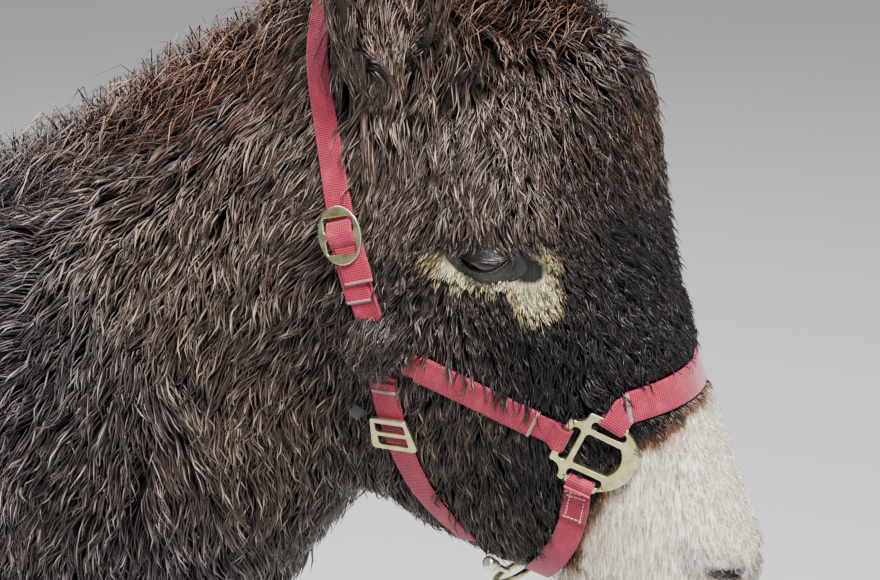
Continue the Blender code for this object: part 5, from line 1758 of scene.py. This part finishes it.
for obj, node in webbingObjects:
    finish(obj, paddedWebbing, "webbing", node)
finish(madeObject("bar_tacks", seamBars), seamWebbing, "webbing")
finish(madeObject("stitches", stitching), threadMaterial, "webbing")
finish(tag, tagWebbing, "tag", "halter_tag")

# Yellow zinc-plated steel: pale greenish gold, satin on the faces and brighter where the edges have rubbed
brassMaterial, tree, shader = newMaterial("zinc_plated_steel", {"Metallic": 1.0, "Roughness": 0.34})
place = objectSpace(tree)
cloud = addNoise(tree, place, {"Scale": 160.0, "Detail": 5.0, "Roughness": 0.6})
plating = addRamp(tree, cloud, (0.3, "#a9a36a"), (0.7, "#d6d3a6"))
edges = addNode(tree, "ShaderNodeNewGeometry").outputs["Pointiness"]
bright = addOver(tree, addRange(tree, edges, 0.52, 0.60), plating, "#ecebd9")
tree.links.new(bright, shader.inputs["Base Color"])
tree.links.new(addRange(tree, cloud, 0.0, 1.0, 0.26, 0.46), shader.inputs["Roughness"])
grit = addNoise(tree, place, {"Scale": 1200.0, "Detail": 2.0})
addBump(tree, shader, grit, 0.15, 0.0002)
for obj, node in brassObjects:
    finish(obj, brassMaterial, "brass", node)
print("halter made:", len(webbingObjects) + len(brassObjects) + 3, "pieces")


# The floor, the light and the camera
stageMake = {"floor": "#d9d6d0", "reach": 15.0}
floorMesh = bpy.data.meshes.new("floor")
bm = bmesh.new()
bmesh.ops.create_grid(bm, x_segments=1, y_segments=1, size=stageMake["reach"])
bm.to_mesh(floorMesh)
floor = newObject("floor", floorMesh)
floorMaterial, tree, shader = newMaterial("matte_floor_paint", {"Base Color": rgba(stageMake["floor"]),
                                                                "Roughness": 0.9})
floorMesh.materials.append(floorMaterial)

lightMake = {  # energy in watts, size in metres, colour, and place from the poll
    "key": (330, 0.9, "#fffaf4", (0.9, -1.2, 2.4)),
    "fill": (40, 2.4, "#dfe9ff", (1.6, -2.6, 0.5)),
    "rim": (140, 1.4, "#e3ecff", (-1.4, 0.8, 2.2)),
}
for name, (energy, size, code, away) in lightMake.items():
    light = bpy.data.lights.new(name, "AREA")
    light.energy, light.size, light.color = energy, size, linear(code)
    lamp = newObject(name, light)
    lamp.location = poll + Vector(away)
    lamp.rotation_euler = (Vector(away)).to_track_quat("Z", "Y").to_euler()
world = bpy.data.worlds.new("soft_room")
bpy.context.scene.world = world
world.use_nodes = True
world.node_tree.nodes["Background"].inputs["Color"].default_value = rgba("#dfe6f0")
world.node_tree.nodes["Background"].inputs["Strength"].default_value = 0.42

viewMake = {"turn": 24, "height": 22, "lens": 85, "distance": 1.45, "fromEye": (-0.0249, -0.0369, -0.0163)}
turn, height = math.radians(viewMake["turn"]), math.radians(viewMake["height"])
lookWay = Vector((-math.sin(turn) * math.cos(height), math.cos(turn) * math.cos(height), -math.sin(height)))
cameraData = bpy.data.cameras.new("camera")
cameraData.lens = viewMake["lens"]
cameraData.clip_start = 0.05
camera = newObject("camera", cameraData)
aim = middle("eye_right") + Vector(viewMake["fromEye"])
camera.location = aim - lookWay * viewMake["distance"]
camera.rotation_euler = (-lookWay).to_track_quat("Z", "Y").to_euler()
bpy.context.scene.camera = camera
